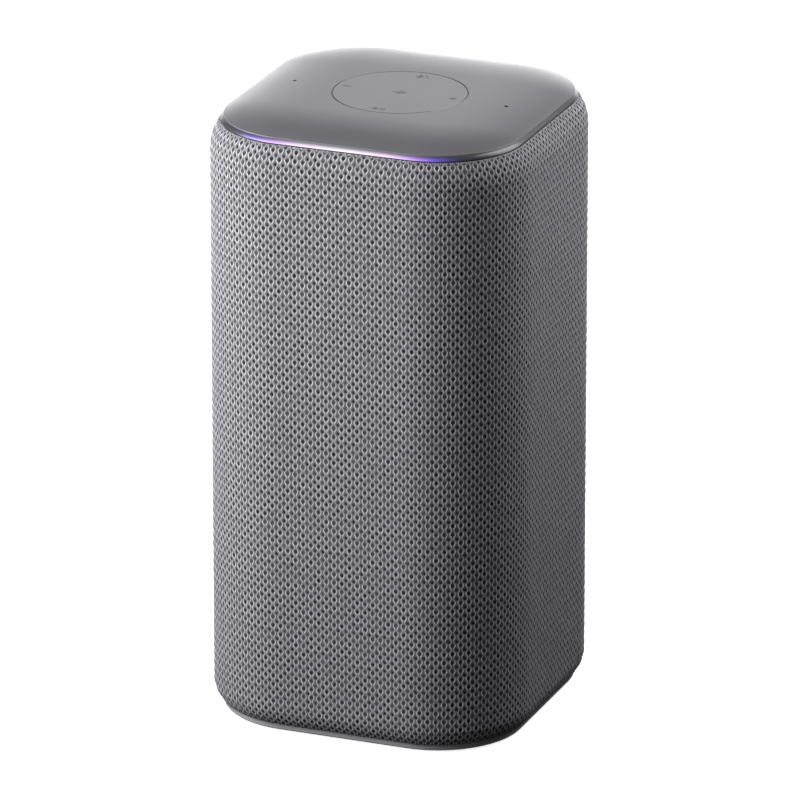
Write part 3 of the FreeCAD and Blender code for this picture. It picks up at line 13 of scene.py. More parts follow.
import bpy
import numpy as np
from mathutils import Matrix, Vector


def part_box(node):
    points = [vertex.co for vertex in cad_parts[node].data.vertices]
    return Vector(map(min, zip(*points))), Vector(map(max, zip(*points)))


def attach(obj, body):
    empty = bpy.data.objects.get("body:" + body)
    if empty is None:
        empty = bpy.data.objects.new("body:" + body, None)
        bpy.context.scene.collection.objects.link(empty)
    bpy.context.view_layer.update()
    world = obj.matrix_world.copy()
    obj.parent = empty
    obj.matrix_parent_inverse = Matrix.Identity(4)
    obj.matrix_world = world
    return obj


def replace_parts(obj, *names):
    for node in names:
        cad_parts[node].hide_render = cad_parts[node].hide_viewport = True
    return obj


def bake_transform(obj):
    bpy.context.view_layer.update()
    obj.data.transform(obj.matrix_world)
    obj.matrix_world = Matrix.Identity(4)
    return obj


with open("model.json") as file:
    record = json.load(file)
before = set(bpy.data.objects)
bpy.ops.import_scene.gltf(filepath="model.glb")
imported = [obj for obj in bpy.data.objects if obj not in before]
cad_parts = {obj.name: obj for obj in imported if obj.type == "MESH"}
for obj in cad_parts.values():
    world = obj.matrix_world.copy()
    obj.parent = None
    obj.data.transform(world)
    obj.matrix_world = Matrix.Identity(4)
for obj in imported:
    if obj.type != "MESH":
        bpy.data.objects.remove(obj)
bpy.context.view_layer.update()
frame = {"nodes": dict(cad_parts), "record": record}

Array = np.ndarray
Pair = tuple[float, float]
Triple = tuple[float, float, float]
Colour = Triple
Stops = tuple[tuple[float, Colour], ...]
MM = 0.001
TURN = 2 * math.pi
log = logging.getLogger("smart_speaker")

# Where the CAD nodes lie that pieces made here stand in for or meet
SLEEVE_LOW, SLEEVE_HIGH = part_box("fabric_sleeve")
RING_LOW, RING_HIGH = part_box("light_ring")
COVER_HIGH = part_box("top_cover")[1]
DISC_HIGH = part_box("touch_disc")[1]
PORT_LOW, PORT_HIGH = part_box("port_housing")

# Sizes from the CAD's own sheet that its boxes don't show
BODY_CORNER = 37.0 * MM
SEAT_GAP = 0.3 * MM
MIC_REACH = 42.0 * MM

# Sizes of the dressed model alone
MIC_RADIUS = 0.8 * MM  # the CAD's own bores are narrower
RIM_LAP = 0.2 * MM  # how far the light band reaches up behind the cap's edge
RIM_STEPS = (24, 40)  # columns along each side and round each corner of the cap and the band
TURN_STEPS = 96  # columns in a whole turn of a round piece


class Body(Enum):
    """The CAD bodies. Pieces made here ride on the housing alone."""

    HOUSING = "housing"
    WOOFER = "woofer_diaphragm"
    LEFT_RADIATOR = "left_radiator"
    RIGHT_RADIATOR = "right_radiator"


class Slot(Enum):
    """The record's material slots."""

    CAP = "cap_plastic"
    DISC = "disc_plastic"
    ICONS = "icon_ink"
    LIGHT = "light_lens"
    GASKET = "gasket_foam"
    KNIT = "knit_fabric"
    GRILLE = "grille_plastic"
    BASE = "base_plastic"
    FOOT = "foot_rubber"
    PORT = "port_plastic"
    SOCKET = "socket_plastic"
    BOARD = "circuit_board"
    COMPONENTS = "components"
    CABLE = "cable_film"
    LED = "led_resin"
    CABINET = "cabinet_plastic"
    SEAL = "seal_rubber"
    BASKET = "basket_steel"
    PLATE = "plate_steel"
    FERRITE = "ferrite"
    CONE = "cone_paper"
    SURROUND = "surround_rubber"
    SPIDER = "spider_cloth"
    COIL = "voice_coil_wire"
    DOME = "dome_silk"
    ALUMINIUM = "aluminium"
    SCREWS = "screw_steel"


# ---------------------------------------------------------------- shader expressions


class Value:
    """One number or colour that varies over a surface. Arithmetic on it adds Math nodes to its material."""

    def __init__(self, nodes: Nodes, socket: bpy.types.NodeSocket) -> None:
        """Wraps the output that carries the value, with the nodes of its material."""
        self.nodes = nodes
        self.socket = socket

    def math(self, operation: str, *terms: Value | float) -> Value:
        """One Math node, whose sockets take the terms in order."""
        return self.nodes.add("Math", {"operation": operation}, dict(enumerate(terms)))

    def __add__(self, other: Value | float) -> Value:
        """The sum."""
        return self.math("ADD", self, other)

    __radd__ = __add__

    def __sub__(self, other: Value | float) -> Value:
        """The difference."""
        return self.math("SUBTRACT", self, other)

    def __rsub__(self, other: Value | float) -> Value:
        """A number less this value."""
        return self.math("SUBTRACT", other, self)

    def __mul__(self, other: Value | float) -> Value:
        """The product."""
        return self.math("MULTIPLY", self, other)

    def __truediv__(self, other: Value | float) -> Value:
        """The quotient."""
        return self.math("DIVIDE", self, other)

    def __abs__(self) -> Value:
        """The size without its sign."""
        return self.math("ABSOLUTE", self)

    def sine(self, cycles: float) -> Value:
        """The sine of this many full turns of the value."""
        return self.math("SINE", self * (TURN * cycles))

    def cosine(self) -> Value:
        """The cosine of the value in full turns."""
        return self.math("COSINE", self * TURN)

    def part(self) -> Value:
        """What is left above the whole number below it."""
        return self.math("FRACT", self)

    def whole(self) -> Value:
        """The whole number below it."""
        return self.math("FLOOR", self)

    def squared(self) -> Value:
        """The value times itself."""
        return self * self

    def least(self, other: Value | float) -> Value:
        """The smaller of the two."""
        return self.math("MINIMUM", self, other)

    def most(self, other: Value | float) -> Value:
        """The larger of the two."""
        return self.math("MAXIMUM", self, other)

    def rise(self, low: float, high: float) -> Value:
        """A smooth step: 0 below low, 1 above high, and an S-shaped curve between."""
        return self.nodes.add("MapRange", {"interpolation_type": "SMOOTHSTEP"},
                              {"Value": self, "From Min": low, "From Max": high})

    def tinted(self, stops: Stops) -> Value:
        """The value's colour on a ramp with these stops."""
        return self.nodes.add("ValToRGB", {"stops": stops}, {"Fac": self})


class Nodes:
    """The nodes of one material."""

    def __init__(self, name: str) -> None:
        """Starts an empty material of this name.

        Args:
            name: The material's name.
        """
        self.material = bpy.data.materials.new(name)
        self.material.use_nodes = True
        self.tree = self.material.node_tree
        self.tree.nodes.clear()

    def add(self, kind: str, settings: dict | None = None, inputs: dict | None = None,
            output: int | str = 0) -> Value:
        """Adds any node.

        Args:
            kind: The node's type, without its ShaderNode prefix.
            settings: Properties, which are set first. "stops" fills a colour ramp.
            inputs: A number, colour or Value for each socket, by its name or number.
            output: The output that is returned.

        Returns:
            The chosen output.
        """
        made = self.tree.nodes.new("ShaderNode" + kind)
        for key, value in (settings or {}).items():
            if key == "stops":
                self._fill(made.color_ramp, value)
            else:
                setattr(made, key, value)
        for key, value in (inputs or {}).items():
            if isinstance(value, Value):
                self.tree.links.new(value.socket, made.inputs[key])
            else:
                made.inputs[key].default_value = value
        return Value(self, made.outputs[output])

    @staticmethod
    def _fill(ramp: bpy.types.ColorRamp, stops: Stops) -> None:
        """Gives a colour ramp its stops.

        Args:
            ramp: A new ramp, which has two stops.
            stops: Places with their colours, lowest first.
        """
        for _ in range(len(stops) - 2):
            ramp.elements.new(0.5)
        for element, (place, colour) in zip(ramp.elements, stops):
            element.position = place
            element.color = (*colour, 1.0)

    def place(self) -> Value:
        """Where a point is on the object, in metres."""
        return self.add("TexCoord", output="Object")

    def axes(self, vector: Value) -> tuple[Value, Value, Value]:
        """The three parts of a vector.

        Args:
            vector: Any vector.

        Returns:
            Its x, y and z.
        """
        parted = self.add("SeparateXYZ", inputs={0: vector}).socket.node
        x, y, z = (Value(self, output) for output in parted.outputs)
        return x, y, z

    def vector(self, x: Value, y: Value) -> Value:
        """A flat vector from its two parts."""
        return self.add("CombineXYZ", inputs={0: x, 1: y})

    def stretched(self, vector: Value, scale: Triple) -> Value:
        """A vector with each part scaled."""
        return self.add("VectorMath", {"operation": "MULTIPLY"}, {0: vector, 1: scale})

    def noise(self, vector: Value, per_metre: float, detail: float = 2.0, roughness: float = 0.5) -> Value:
        """Soft noise about 0.5, by its blotches in a metre, its layers of detail and their strength."""
        return self.add("TexNoise", inputs={"Vector": vector, "Scale": per_metre, "Detail": detail,
                                            "Roughness": roughness})

    def mix(self, share: Value | float, first: Value | Colour, second: Value | Colour) -> Value:
        """Two colours mixed: the first where share is 0, and the second where it is 1."""
        first, second = (c if isinstance(c, Value) else (*c, 1.0) for c in (first, second))
        return self.add("Mix", {"data_type": "RGBA"}, {0: share, 6: first, 7: second}, 2)

    def bump(self, height: Value, depth: float) -> Value:
        """The normal of a raised surface, which stands this many metres higher where height is 1."""
        return self.add("Bump", inputs={"Strength": 1.0, "Distance": depth, "Height": height})

    def finish(self, **inputs: Value | Colour | float) -> bpy.types.Material:
        """Ends the material with its shader.

        Args:
            inputs: The shader's sockets, with underscores for the spaces in their names.

        Returns:
            The finished material.
        """
        sockets = {}
        for key, value in inputs.items():
            sockets[key.replace("_", " ")] = (*value, 1.0) if isinstance(value, tuple) else value
        shader = self.add("BsdfPrincipled", inputs=sockets)
        out = self.tree.nodes.new("ShaderNodeOutputMaterial")
        self.tree.links.new(shader.socket, out.inputs["Surface"])
        return self.material


# ---------------------------------------------------------------- finishes


@dataclass(frozen=True)
class Finish:
    """What every finish has: a name and its main colour."""

    name: str
    colour: Colour

    def shade(self, amount: float) -> Colour:
        """The main colour made lighter or darker."""
        return tuple(min(1.0, part * amount) for part in self.colour)

    def make(self) -> bpy.types.Material:
        """The finished material. Each kind of finish makes its own."""
        raise NotImplementedError


@dataclass(frozen=True)
class Moulded(Finish):
    """Moulded plastic, rubber or foam: an even colour with faint clouds, and a spark-eroded grain."""

    roughness: float = 0.5
    grain: float = 0.3 * MM
    depth: float = 0.008 * MM
    clouds: float = 0.05
    speckle: float = 0.0
    coat: float = 0.0
    # How far from the middle the two pinholes lie, whose insides are painted near black as painted shade; 0
    # for none
    shaded_wells: float = 0.0
    well_radius: float = MIC_RADIUS

    def make(self) -> bpy.types.Material:
        """Clouds lie in the colour and gloss, the grain is a bump, dust shows as pale specks, and the two
        pinholes, where there are any, are painted near black: painted shade inside them.

        Returns:
            The finished material.
        """
        nodes = Nodes(self.name)
        place = nodes.place()
        cloud = nodes.noise(place, 55.0, 3.0)
        grain = nodes.noise(place, 1 / self.grain, 3.0, 0.6)
        base = nodes.mix(cloud.rise(0.3, 0.7), self.shade(1 - self.clouds), self.shade(1 + self.clouds))
        base = nodes.mix((grain - 0.5) * 0.25 + 0.12, base, self.shade(1.2))
        if self.speckle:
            dust = nodes.noise(place, 2600.0, 1.0).rise(0.66, 0.74) * self.speckle
            base = nodes.mix(dust, base, self.shade(2.6))
        # Painted shade: the inside of each pinhole is painted near black
        if self.shaded_wells:
            x, y, _ = nodes.axes(place)
            reach = ((abs(x) - self.shaded_wells).squared() + y.squared()) / self.well_radius**2
            base = nodes.mix(1 - reach.rise(0.8, 1.15), base, PINHOLE_SHADE)
        rough = cloud * 0.06 + grain * 0.08 + (self.roughness - 0.07)
        return nodes.finish(Base_Color=base, Roughness=rough, Normal=nodes.bump(grain, self.depth),
                            Coat_Weight=self.coat, Coat_Roughness=0.3)


@dataclass(frozen=True)
class Metal(Finish):
    """Plated, coated or extruded metal with fine lines along one way."""

    roughness: float = 0.35
    metallic: float = 1.0
    lines: Triple = (900.0, 900.0, 60.0)
    depth: float = 0.004 * MM

    def make(self) -> bpy.types.Material:
        """Stretched noise gives the lines, and broad noise dulls the plating in clouds.

        Returns:
            The finished material.
        """
        nodes = Nodes(self.name)
        place = nodes.place()
        line = nodes.noise(nodes.stretched(place, self.lines), 1.0, 3.0, 0.6)
        cloud = nodes.noise(place, 120.0, 4.0)
        base = nodes.mix(cloud.rise(0.35, 0.7), self.shade(0.82), self.shade(1.08))
        base = nodes.mix(line * 0.3, base, self.shade(0.7))
        rough = line * 0.14 + cloud * 0.12 + (self.roughness - 0.13)
        return nodes.finish(Base_Color=base, Roughness=rough, Metallic=self.metallic,
                            Normal=nodes.bump(line, self.depth))


@dataclass(frozen=True)
class Ceramic(Finish):
    """Ground ferrite: near-black grains with a few chips that glint."""

    def make(self) -> bpy.types.Material:
        """Cells give the grains, and the edge of each cell is a shallow groove.

        Returns:
            The finished material.
        """
        nodes = Nodes(self.name)
        place = nodes.place()
        cell = nodes.add("TexVoronoi", {"feature": "F1"}, {"Vector": place, "Scale": 1500.0})
        grit = nodes.noise(place, 3200.0, 2.0)
        base = nodes.mix(cell.rise(0.1, 0.7), self.shade(0.7), self.shade(1.3))
        # Painted highlight: the chips that glint are painted lighter
        base = nodes.mix(grit.rise(0.66, 0.72), base, self.shade(2.2))
        return nodes.finish(Base_Color=base, Roughness=grit * 0.3 + 0.4, Normal=nodes.bump(cell, 0.02 * MM))


@dataclass(frozen=True)
class Pulp(Finish):
    """Pressed paper: short fibres lying every way in a matt, dark mass."""

    def make(self) -> bpy.types.Material:
        """Two noises stretched across each other give the fibres.

        Returns:
            The finished material.
        """
        nodes = Nodes(self.name)
        place = nodes.place()
        one, two = (nodes.noise(nodes.stretched(place, lie), 1.0, 2.0).rise(0.5, 0.68)
                    for lie in ((2400.0, 500.0, 900.0), (500.0, 2400.0, 900.0)))
        fibre = one.most(two)
        base = nodes.mix(fibre, self.shade(0.75), self.shade(1.7))
        return nodes.finish(Base_Color=base, Roughness=0.9 - fibre * 0.15,
                            Normal=nodes.bump(fibre, 0.03 * MM))


@dataclass(frozen=True)
class Woven(Finish):
    """Plain-woven cloth that is stiffened with resin, such as a spider or a dome."""

    thread: float = 0.45 * MM
    roughness: float = 0.75
    depth: float = 0.05 * MM

    def make(self) -> bpy.types.Material:
        """The product of two sine waves gives the crossings of warp and weft.

        Returns:
            The finished material.
        """
        nodes = Nodes(self.name)
        place = nodes.place()
        x, y, z = nodes.axes(place)
        weave = (x + z * 0.6).sine(1 / self.thread) * (y + z * 0.6).sine(1 / self.thread) * 0.5 + 0.5
        cloud = nodes.noise(place, 300.0, 2.0)
        base = nodes.mix(weave, self.shade(0.55), self.shade(1.15))
        base = nodes.mix(cloud * 0.4, base, self.shade(0.8))
        return nodes.finish(Base_Color=base, Roughness=self.roughness - weave * 0.12,
                            Normal=nodes.bump(weave, self.depth))


@dataclass(frozen=True)
class Winding(Finish):
    """Enamelled wire wound side by side round the coil's own axis."""

    wire: float = 0.25 * MM

    def make(self) -> bpy.types.Material:
        """A wave up the axis gives each turn a round back, and darkens the colour into the gap between turns
        as painted shade.

        Returns:
            The finished material.
        """
        nodes = Nodes(self.name)
        place = nodes.place()
        _, _, z = nodes.axes(place)
        turn = z.sine(1 / self.wire) * 0.5 + 0.5
        cloud = nodes.noise(place, 500.0, 2.0)
        # Painted shade: the colour darkens into the gap between turns
        base = nodes.mix(turn, self.shade(0.35), self.shade(1.1))
        return nodes.finish(Base_Color=base, Roughness=cloud * 0.2 + 0.2, Metallic=turn * 0.4 + 0.5,
                            Normal=nodes.bump(turn, 0.08 * MM))


@dataclass(frozen=True)
class CircuitBoard(Finish):
    """Solder mask over copper: fine tracks that turn at right angles, and tinned pads."""

    def make(self) -> bpy.types.Material:
        """Square cells give the tracks along their borders, and small rounds in some cells are pads.

        Returns:
            The finished material.
        """
        nodes = Nodes(self.name)
        place = nodes.place()
        block = nodes.add("TexVoronoi", {"feature": "F1", "distance": "CHEBYCHEV"},
                          {"Vector": place, "Scale": 260.0})
        pad = nodes.add("TexVoronoi", {"feature": "F1"},
                        {"Vector": place, "Scale": 420.0, "Randomness": 0.15})
        fibre = nodes.noise(place, 1800.0, 2.0)
        track = block.part().rise(0.42, 0.46) * (1 - block.part().rise(0.52, 0.56))
        tin = 1 - pad.rise(0.10, 0.14)
        base = nodes.mix(track, self.shade(0.8), self.shade(1.9))
        base = nodes.mix(fibre * 0.3, base, self.shade(0.7))
        base = nodes.mix(tin, base, (0.62, 0.6, 0.55))
        return nodes.finish(Base_Color=base, Roughness=0.38 + fibre * 0.1, Metallic=tin * 0.9,
                            Normal=nodes.bump(track.most(tin), 0.03 * MM))


@dataclass(frozen=True)
class FlatCable(Finish):
    """Clear film over parallel flat wires."""

    pitch: float = 1.0 * MM

    def make(self) -> bpy.types.Material:
        """A wave across the cable gives the wires that show through the film.

        Returns:
            The finished material.
        """
        nodes = Nodes(self.name)
        place = nodes.place()
        x, _, _ = nodes.axes(place)
        wire = (x.sine(1 / self.pitch) * 0.5 + 0.5).rise(0.3, 0.6)
        haze = nodes.noise(place, 400.0, 2.0)
        base = nodes.mix(wire, self.colour, (0.6, 0.6, 0.58))
        return nodes.finish(Base_Color=base, Roughness=0.25 + haze * 0.15, Metallic=wire * 0.5,
                            Normal=nodes.bump(wire, 0.02 * MM))


@dataclass(frozen=True)
class Lens(Finish):
    """The milky light band. Lamps behind its front side make it violet at the ends and near white in the
    middle. Its stops give the glow by the share of its reach from the middle, and it dies away between two
    places on the way back."""

    low: float = 0.0
    high: float = 1.0
    reach: float = 52.0 * MM
    strength: float = 1.0
    behind: Pair = (-46.0 * MM, -30.0 * MM)
    stops: Stops = ((0.0, (0.98, 0.90, 1.0)), (0.36, (0.93, 0.74, 1.0)), (0.55, (0.62, 0.33, 0.95)),
                    (0.70, (0.18, 0.09, 0.70)), (0.80, (0.04, 0.03, 0.22)), (0.88, (0.003, 0.003, 0.01)))

    def make(self) -> bpy.types.Material:
        """The glow depends on how far a point is from the middle of the front. It fades up the band, away
        from the lamps, and it stops behind the corners.

        Returns:
            The finished material.
        """
        nodes = Nodes(self.name)
        place = nodes.place()
        x, y, z = nodes.axes(place)
        lamps = nodes.noise(place, 140.0, 1.0) * 0.05
        along = abs(x) / self.reach + lamps
        front = 1 - y.rise(*self.behind)
        fade = 1 - ((z - self.low) / (self.high - self.low)).rise(0.15, 1.15) * 0.92
        glow = nodes.mix(front * fade, (0.0, 0.0, 0.0), along.tinted(self.stops))
        haze = nodes.noise(place, 900.0, 2.0)
        base = nodes.mix(haze, self.shade(0.85), self.shade(1.1))
        return nodes.finish(Base_Color=base, Roughness=0.28 + haze * 0.1, Emission_Color=glow,
                            Emission_Strength=self.strength, Normal=nodes.bump(haze, 0.004 * MM))


@dataclass(frozen=True)
class Ink(Finish):
    """Pad-printed ink with slightly uneven cover."""

    def make(self) -> bpy.types.Material:
        """Fine noise thins the ink here and there.

        Returns:
            The finished material.
        """
        nodes = Nodes(self.name)
        place = nodes.place()
        thin = nodes.noise(place, 5000.0, 2.0)
        base = nodes.mix(thin, self.shade(0.85), self.shade(1.25))
        return nodes.finish(Base_Color=base, Roughness=0.4 + thin * 0.2, Normal=nodes.bump(thin, 0.003 * MM))


@dataclass(frozen=True)
class Loop:
    """The shape of one knitted stitch, in shares of a stitch's width and a course's height. Two strands run
    up each stitch, sway out and in once a course, and are thickest where they meet. Their crests wane away
    from one height, and the knit dips inside each stitch and between stitches."""

    middle: float = 0.23
    sway: float = 0.105
    yarn: float = 0.08
    swell: float = 0.025
    crest: float = 0.37
    wane: float = 0.42
    valley: float = 0.22
    edge_rise: float = 0.28
    hollow: float = 0.47
    between: float = 0.93
    dips: Pair = (1.15, 1.0)
    dip_reach: float = 0.2


@dataclass(frozen=True)
class Knit(Finish):
    """Heathered yarn, knitted. The sleeve's UV map counts stitches across and courses up, so each colour
    knows its stitch. Sizes and places of the dark spots are shares of a stitch."""

    # The hollow colour is painted shade in the knit's hollows, and the pit colour stands for the dark frame
    # seen through the knit, with painted shade
    hollow: Colour = (0.028, 0.028, 0.03)
    pit: Colour = (0.006, 0.006, 0.007)
    # The strands' colour: the yarn with a painted highlight
    lit_strand: Colour = (0.72, 0.715, 0.765)
    hollow_size: Pair = (0.28, 0.29)
    between_size: Pair = (0.22, 0.25)
    pit_place: Pair = (0.08, -0.06)
    pit_size: Pair = (0.15, 0.17)
    low_pit_place: Pair = (0.05, -0.05)
    low_pit_size: Pair = (0.15, 0.15)
    loop: Loop = Loop()

    def make(self) -> bpy.types.Material:
        """Both strands of a stitch follow the same curve as the mesh's ridges, and they are painted lighter
        than the yarn between them, lightest at one height of each course: a painted highlight. Between them
        lies the knit's own yarn colour, with a round hollow in each stitch and another between stitches,
        painted dark as painted shade, and each hollow has a near-black pit at one side, for the dark frame
        seen through the knit and for painted shade. Every hollow has its own depth of shade.

        Returns:
            The finished material.
        """
        nodes = Nodes(self.name)
        loop = self.loop
        across, up, _ = nodes.axes(nodes.add("UVMap", {"uv_map": "knit"}))
        column, course = across.part(), up.part()
        wave = course.cosine()
        off_middle, over_hollow = column - 0.5, course - loop.hollow
        far = abs(abs(off_middle) + (wave * loop.sway - loop.middle)) / (wave * loop.swell + loop.yarn)
        strand = 1 - far.rise(0.45, 1.05)
        # Painted highlight: the strands are painted lightest at one height of each course, where light
        # catches their crests
        front = (course - loop.crest).cosine() * 0.38 + 0.62
        own_shade = self._shade_of(nodes, across.whole(), up.whole())
        gap_shade = self._shade_of(nodes, (across + 0.5).whole(), (up + 0.5).whole())
        hollow = self._oval(off_middle, over_hollow, self.hollow_size)
        aside, above = (across + 0.5).part() - 0.5, (up + (0.5 - loop.between)).part() - 0.5
        between = self._oval(aside, above, self.between_size)
        pit = self._oval(aside, above, self.pit_size, self.pit_place) * gap_shade.rise(0.0, 0.7)
        low_pit = (self._oval(off_middle, over_hollow, self.low_pit_size, self.low_pit_place)
                   * own_shade.rise(0.0, 1.2))
        # Painted shade: how dark each hollow is painted, different from stitch to stitch
        dark = hollow * (0.66 + own_shade * 0.34) + between * (0.66 + gap_shade * 0.34)

        place = nodes.place()
        fibre = nodes.noise(place, 9000.0, 2.0, 0.6)
        blend = nodes.noise(place, 240.0, 2.0)
        yarn = nodes.mix(own_shade, self.shade(0.85), self.shade(1.15))
        # Painted shade in the hollows, then the pits: the dark frame seen through the knit, with painted
        # shade
        base = nodes.mix(dark.least(1.0), yarn, self.hollow)
        base = nodes.mix(pit.most(low_pit), base, self.pit)
        # Painted highlight: the strands take a lighter colour than the yarn between them
        base = nodes.mix(strand * front * (0.9 + own_shade * 0.1), base, self.lit_strand)
        heather = nodes.mix(blend, self.shade(0.7), self.shade(1.3))
        base = nodes.mix((fibre - 0.5) * 0.3 + 0.04, base, heather)
        cover = nodes.bump(strand * 0.6 + fibre * 0.4, 0.06 * MM)
        return nodes.finish(Base_Color=base, Roughness=0.92 - strand * 0.14, Normal=cover,
                            Sheen_Weight=0.02, Sheen_Roughness=0.5, Specular_IOR_Level=0.12)

    @staticmethod
    def _shade_of(nodes: Nodes, column: Value, course: Value) -> Value:
        """A chance number from 0 to 1 that is the same all over one stitch."""
        chance = {"Vector": nodes.vector(column, course)}
        return nodes.add("TexWhiteNoise", {"noise_dimensions": "2D"}, chance)

    @staticmethod
    def _oval(across: Value, up: Value, reach: Pair, place: Pair = (0.0, 0.0)) -> Value:
        """A soft oval spot: 1 at its place, falling to 0 at its reach across and up from there."""
        far = ((across - place[0]) / reach[0]).squared() + ((up - place[1]) / reach[1]).squared()
        return 1 - far.rise(0.35, 1.0)


CAP_GREY: Colour = (0.135, 0.134, 0.148)
# Painted shade for the inside of the cap's pinholes
PINHOLE_SHADE: Colour = (0.004, 0.004, 0.005)

FINISHES: dict[Slot, Finish] = {
    Slot.CAP: Moulded("cap_satin", CAP_GREY, 0.38, 0.22 * MM, 0.003 * MM, 0.02, coat=0.05, shaded_wells=MIC_REACH),
    Slot.DISC: Moulded("disc_satin", CAP_GREY, 0.38, 0.22 * MM, 0.003 * MM, 0.02, coat=0.15),
    Slot.ICONS: Ink("icon_print", (0.05, 0.05, 0.055)),
    Slot.LIGHT: Lens("milky_lens", (0.05, 0.05, 0.058), RING_LOW.z, RING_HIGH.z + RIM_LAP),
    Slot.GASKET: Moulded("gasket_foam", (0.008, 0.008, 0.009), 0.9, 0.4 * MM, 0.05 * MM),
    Slot.KNIT: Knit("heather_knit", (0.172, 0.17, 0.182)),
    Slot.GRILLE: Moulded("grille_black", (0.012, 0.012, 0.013), 0.6, 0.4 * MM, 0.02 * MM),
    Slot.BASE: Moulded("base_grey", (0.30, 0.30, 0.315), 0.45, 0.3 * MM, 0.008 * MM, 0.03, speckle=0.05),
    Slot.FOOT: Moulded("foot_rubber", (0.02, 0.02, 0.021), 0.8, 0.5 * MM, 0.03 * MM, 0.1, speckle=0.5),
    Slot.PORT: Moulded("port_grey", (0.035, 0.035, 0.038), 0.5, 0.3 * MM, 0.01 * MM, speckle=0.08),
    Slot.SOCKET: Moulded("socket_black", (0.012, 0.012, 0.013), 0.4, 0.3 * MM, 0.008 * MM, speckle=0.1),
    Slot.BOARD: CircuitBoard("solder_mask", (0.012, 0.075, 0.045)),
    Slot.COMPONENTS: Moulded("chip_epoxy", (0.025, 0.025, 0.027), 0.55, 0.25 * MM, 0.015 * MM, 0.1, 0.25),
    Slot.CABLE: FlatCable("flat_cable", (0.62, 0.55, 0.36)),
    Slot.LED: Moulded("lamp_resin", (0.85, 0.80, 0.62), 0.25, 0.2 * MM, 0.003 * MM, coat=0.5),
    Slot.CABINET: Moulded("cabinet_black", (0.028, 0.028, 0.03), 0.62, 0.5 * MM, 0.02 * MM, 0.12, 0.1),
    Slot.SEAL: Moulded("seal_foam", (0.012, 0.012, 0.012), 0.92, 0.5 * MM, 0.08 * MM, 0.15),
    Slot.BASKET: Metal("powder_coat", (0.018, 0.018, 0.02), 0.6, 0.0, (900.0, 900.0, 900.0), 0.02 * MM),
    Slot.PLATE: Metal("zinc_plate", (0.48, 0.48, 0.50), 0.38),
    Slot.FERRITE: Ceramic("ground_ferrite", (0.022, 0.022, 0.024)),
    Slot.CONE: Pulp("cone_pulp", (0.028, 0.028, 0.032)),
    Slot.SURROUND: Moulded("surround_rubber", (0.016, 0.016, 0.017), 0.55, 0.6 * MM, 0.01 * MM, 0.1, 0.12),
    Slot.SPIDER: Woven("spider_cloth", (0.46, 0.30, 0.09)),
    Slot.COIL: Winding("copper_winding", (0.62, 0.26, 0.10)),
    Slot.DOME: Woven("dome_silk", (0.02, 0.02, 0.022), 0.22 * MM, 0.55, 0.02 * MM),
    Slot.ALUMINIUM: Metal("extruded_aluminium", (0.62, 0.63, 0.65), 0.36, 1.0, (1500.0, 1500.0, 40.0)),
    Slot.SCREWS: Metal("zinc_screw", (0.52, 0.52, 0.50), 0.32, 1.0, (1200.0, 1200.0, 1200.0)),
}
MATERIALS: dict[Slot, bpy.types.Material] = {}


def material_for(slot: Slot) -> bpy.types.Material:
    """The one material of a slot, which is made when it is first asked for.

    Args:
        slot: A slot of the record.

    Returns:
        Its material.
    """
    if slot not in MATERIALS:
        MATERIALS[slot] = FINISHES[slot].make()
    return MATERIALS[slot]


# ---------------------------------------------------------------- shapes from grids


@dataclass(frozen=True)
class Outline:
    """A rounded square about the Z axis."""

    half: float
    corner: float

    @property
    def length(self) -> float:
        """All the way round: four sides and four quarter arcs."""
        return 8 * (self.half - self.corner) + TURN * self.corner

    def walk(self, distance: Array) -> tuple[Array, Array]:
        """Points of the outline. The quarter that holds the front side is worked out, with the side first
        and the corner after it as a sine and a cosine, and it is turned into its own quarter.

        Args:
            distance: How far round from the middle of the front side, anticlockwise from above.

        Returns:
            The points and the directions outwards, each with an x and a y in its last axis.
        """
        straight = self.half - self.corner
        quarter = self.length / 4
        gone = np.mod(distance + straight, self.length)
        turns = np.floor(gone / quarter)
        rest = gone - turns * quarter
        angle = np.maximum(rest - 2 * straight, 0) / self.corner
        x = np.minimum(rest, 2 * straight) - straight + self.corner * np.sin(angle)
        y = -straight - self.corner * np.cos(angle)
        point, out = np.stack([x, y], -1), np.stack([np.sin(angle), -np.cos(angle)], -1)
        c, s = np.cos(turns * math.pi / 2), np.sin(turns * math.pi / 2)
        placed = [np.stack([c * v[..., 0] - s * v[..., 1], s * v[..., 0] + c * v[..., 1]], -1)
                  for v in (point, out)]
        return placed[0], placed[1]

    def stations(self, side_steps: int = 16, corner_steps: int = 32) -> Array:
        """Distances that are even along each side and finer round each corner.

        Args:
            side_steps: How many there are along each side.
            corner_steps: How many there are round each corner.

        Returns:
            The distances, in order.
        """
        side, quarter = 2 * (self.half - self.corner), self.length / 4
        one = np.concatenate([np.linspace(0, side, side_steps, False),
                              np.linspace(side, quarter, corner_steps, False)])
        return (one + quarter * np.arange(4)[:, None]).ravel() - side / 2

    def inset(self, point: Array) -> Array:
        """How far inside the outline each point is, from the distance to a square shrunk by the corner's
        radius.

        Args:
            point: Points, each with an x and a y in its last axis.

        Returns:
            Distances to the outline, positive inside it.
        """
        beyond = np.abs(point) - (self.half - self.corner)
        outside = np.linalg.norm(np.maximum(beyond, 0), axis=-1)
        return self.corner - outside - np.minimum(beyond.max(-1), 0)


def quads(rows: int, columns: int, loop: bool, ring: bool) -> Array:
    """The faces of a grid of points.

    Args:
        rows: Points along the grid's first way.
        columns: Points along its second way.
        loop: Whether the last row joins the first.
        ring: Whether the last column joins the first.

    Returns:
        Four point numbers for each face.
    """
    i, j = np.meshgrid(np.arange(rows if loop else rows - 1), np.arange(columns if ring else columns - 1),
                       indexing="ij")
    up, on = (i + 1) % rows, (j + 1) % columns
    corners = [i * columns + j, i * columns + on, up * columns + on, up * columns + j]
    return np.stack(corners, -1).reshape(-1, 4)


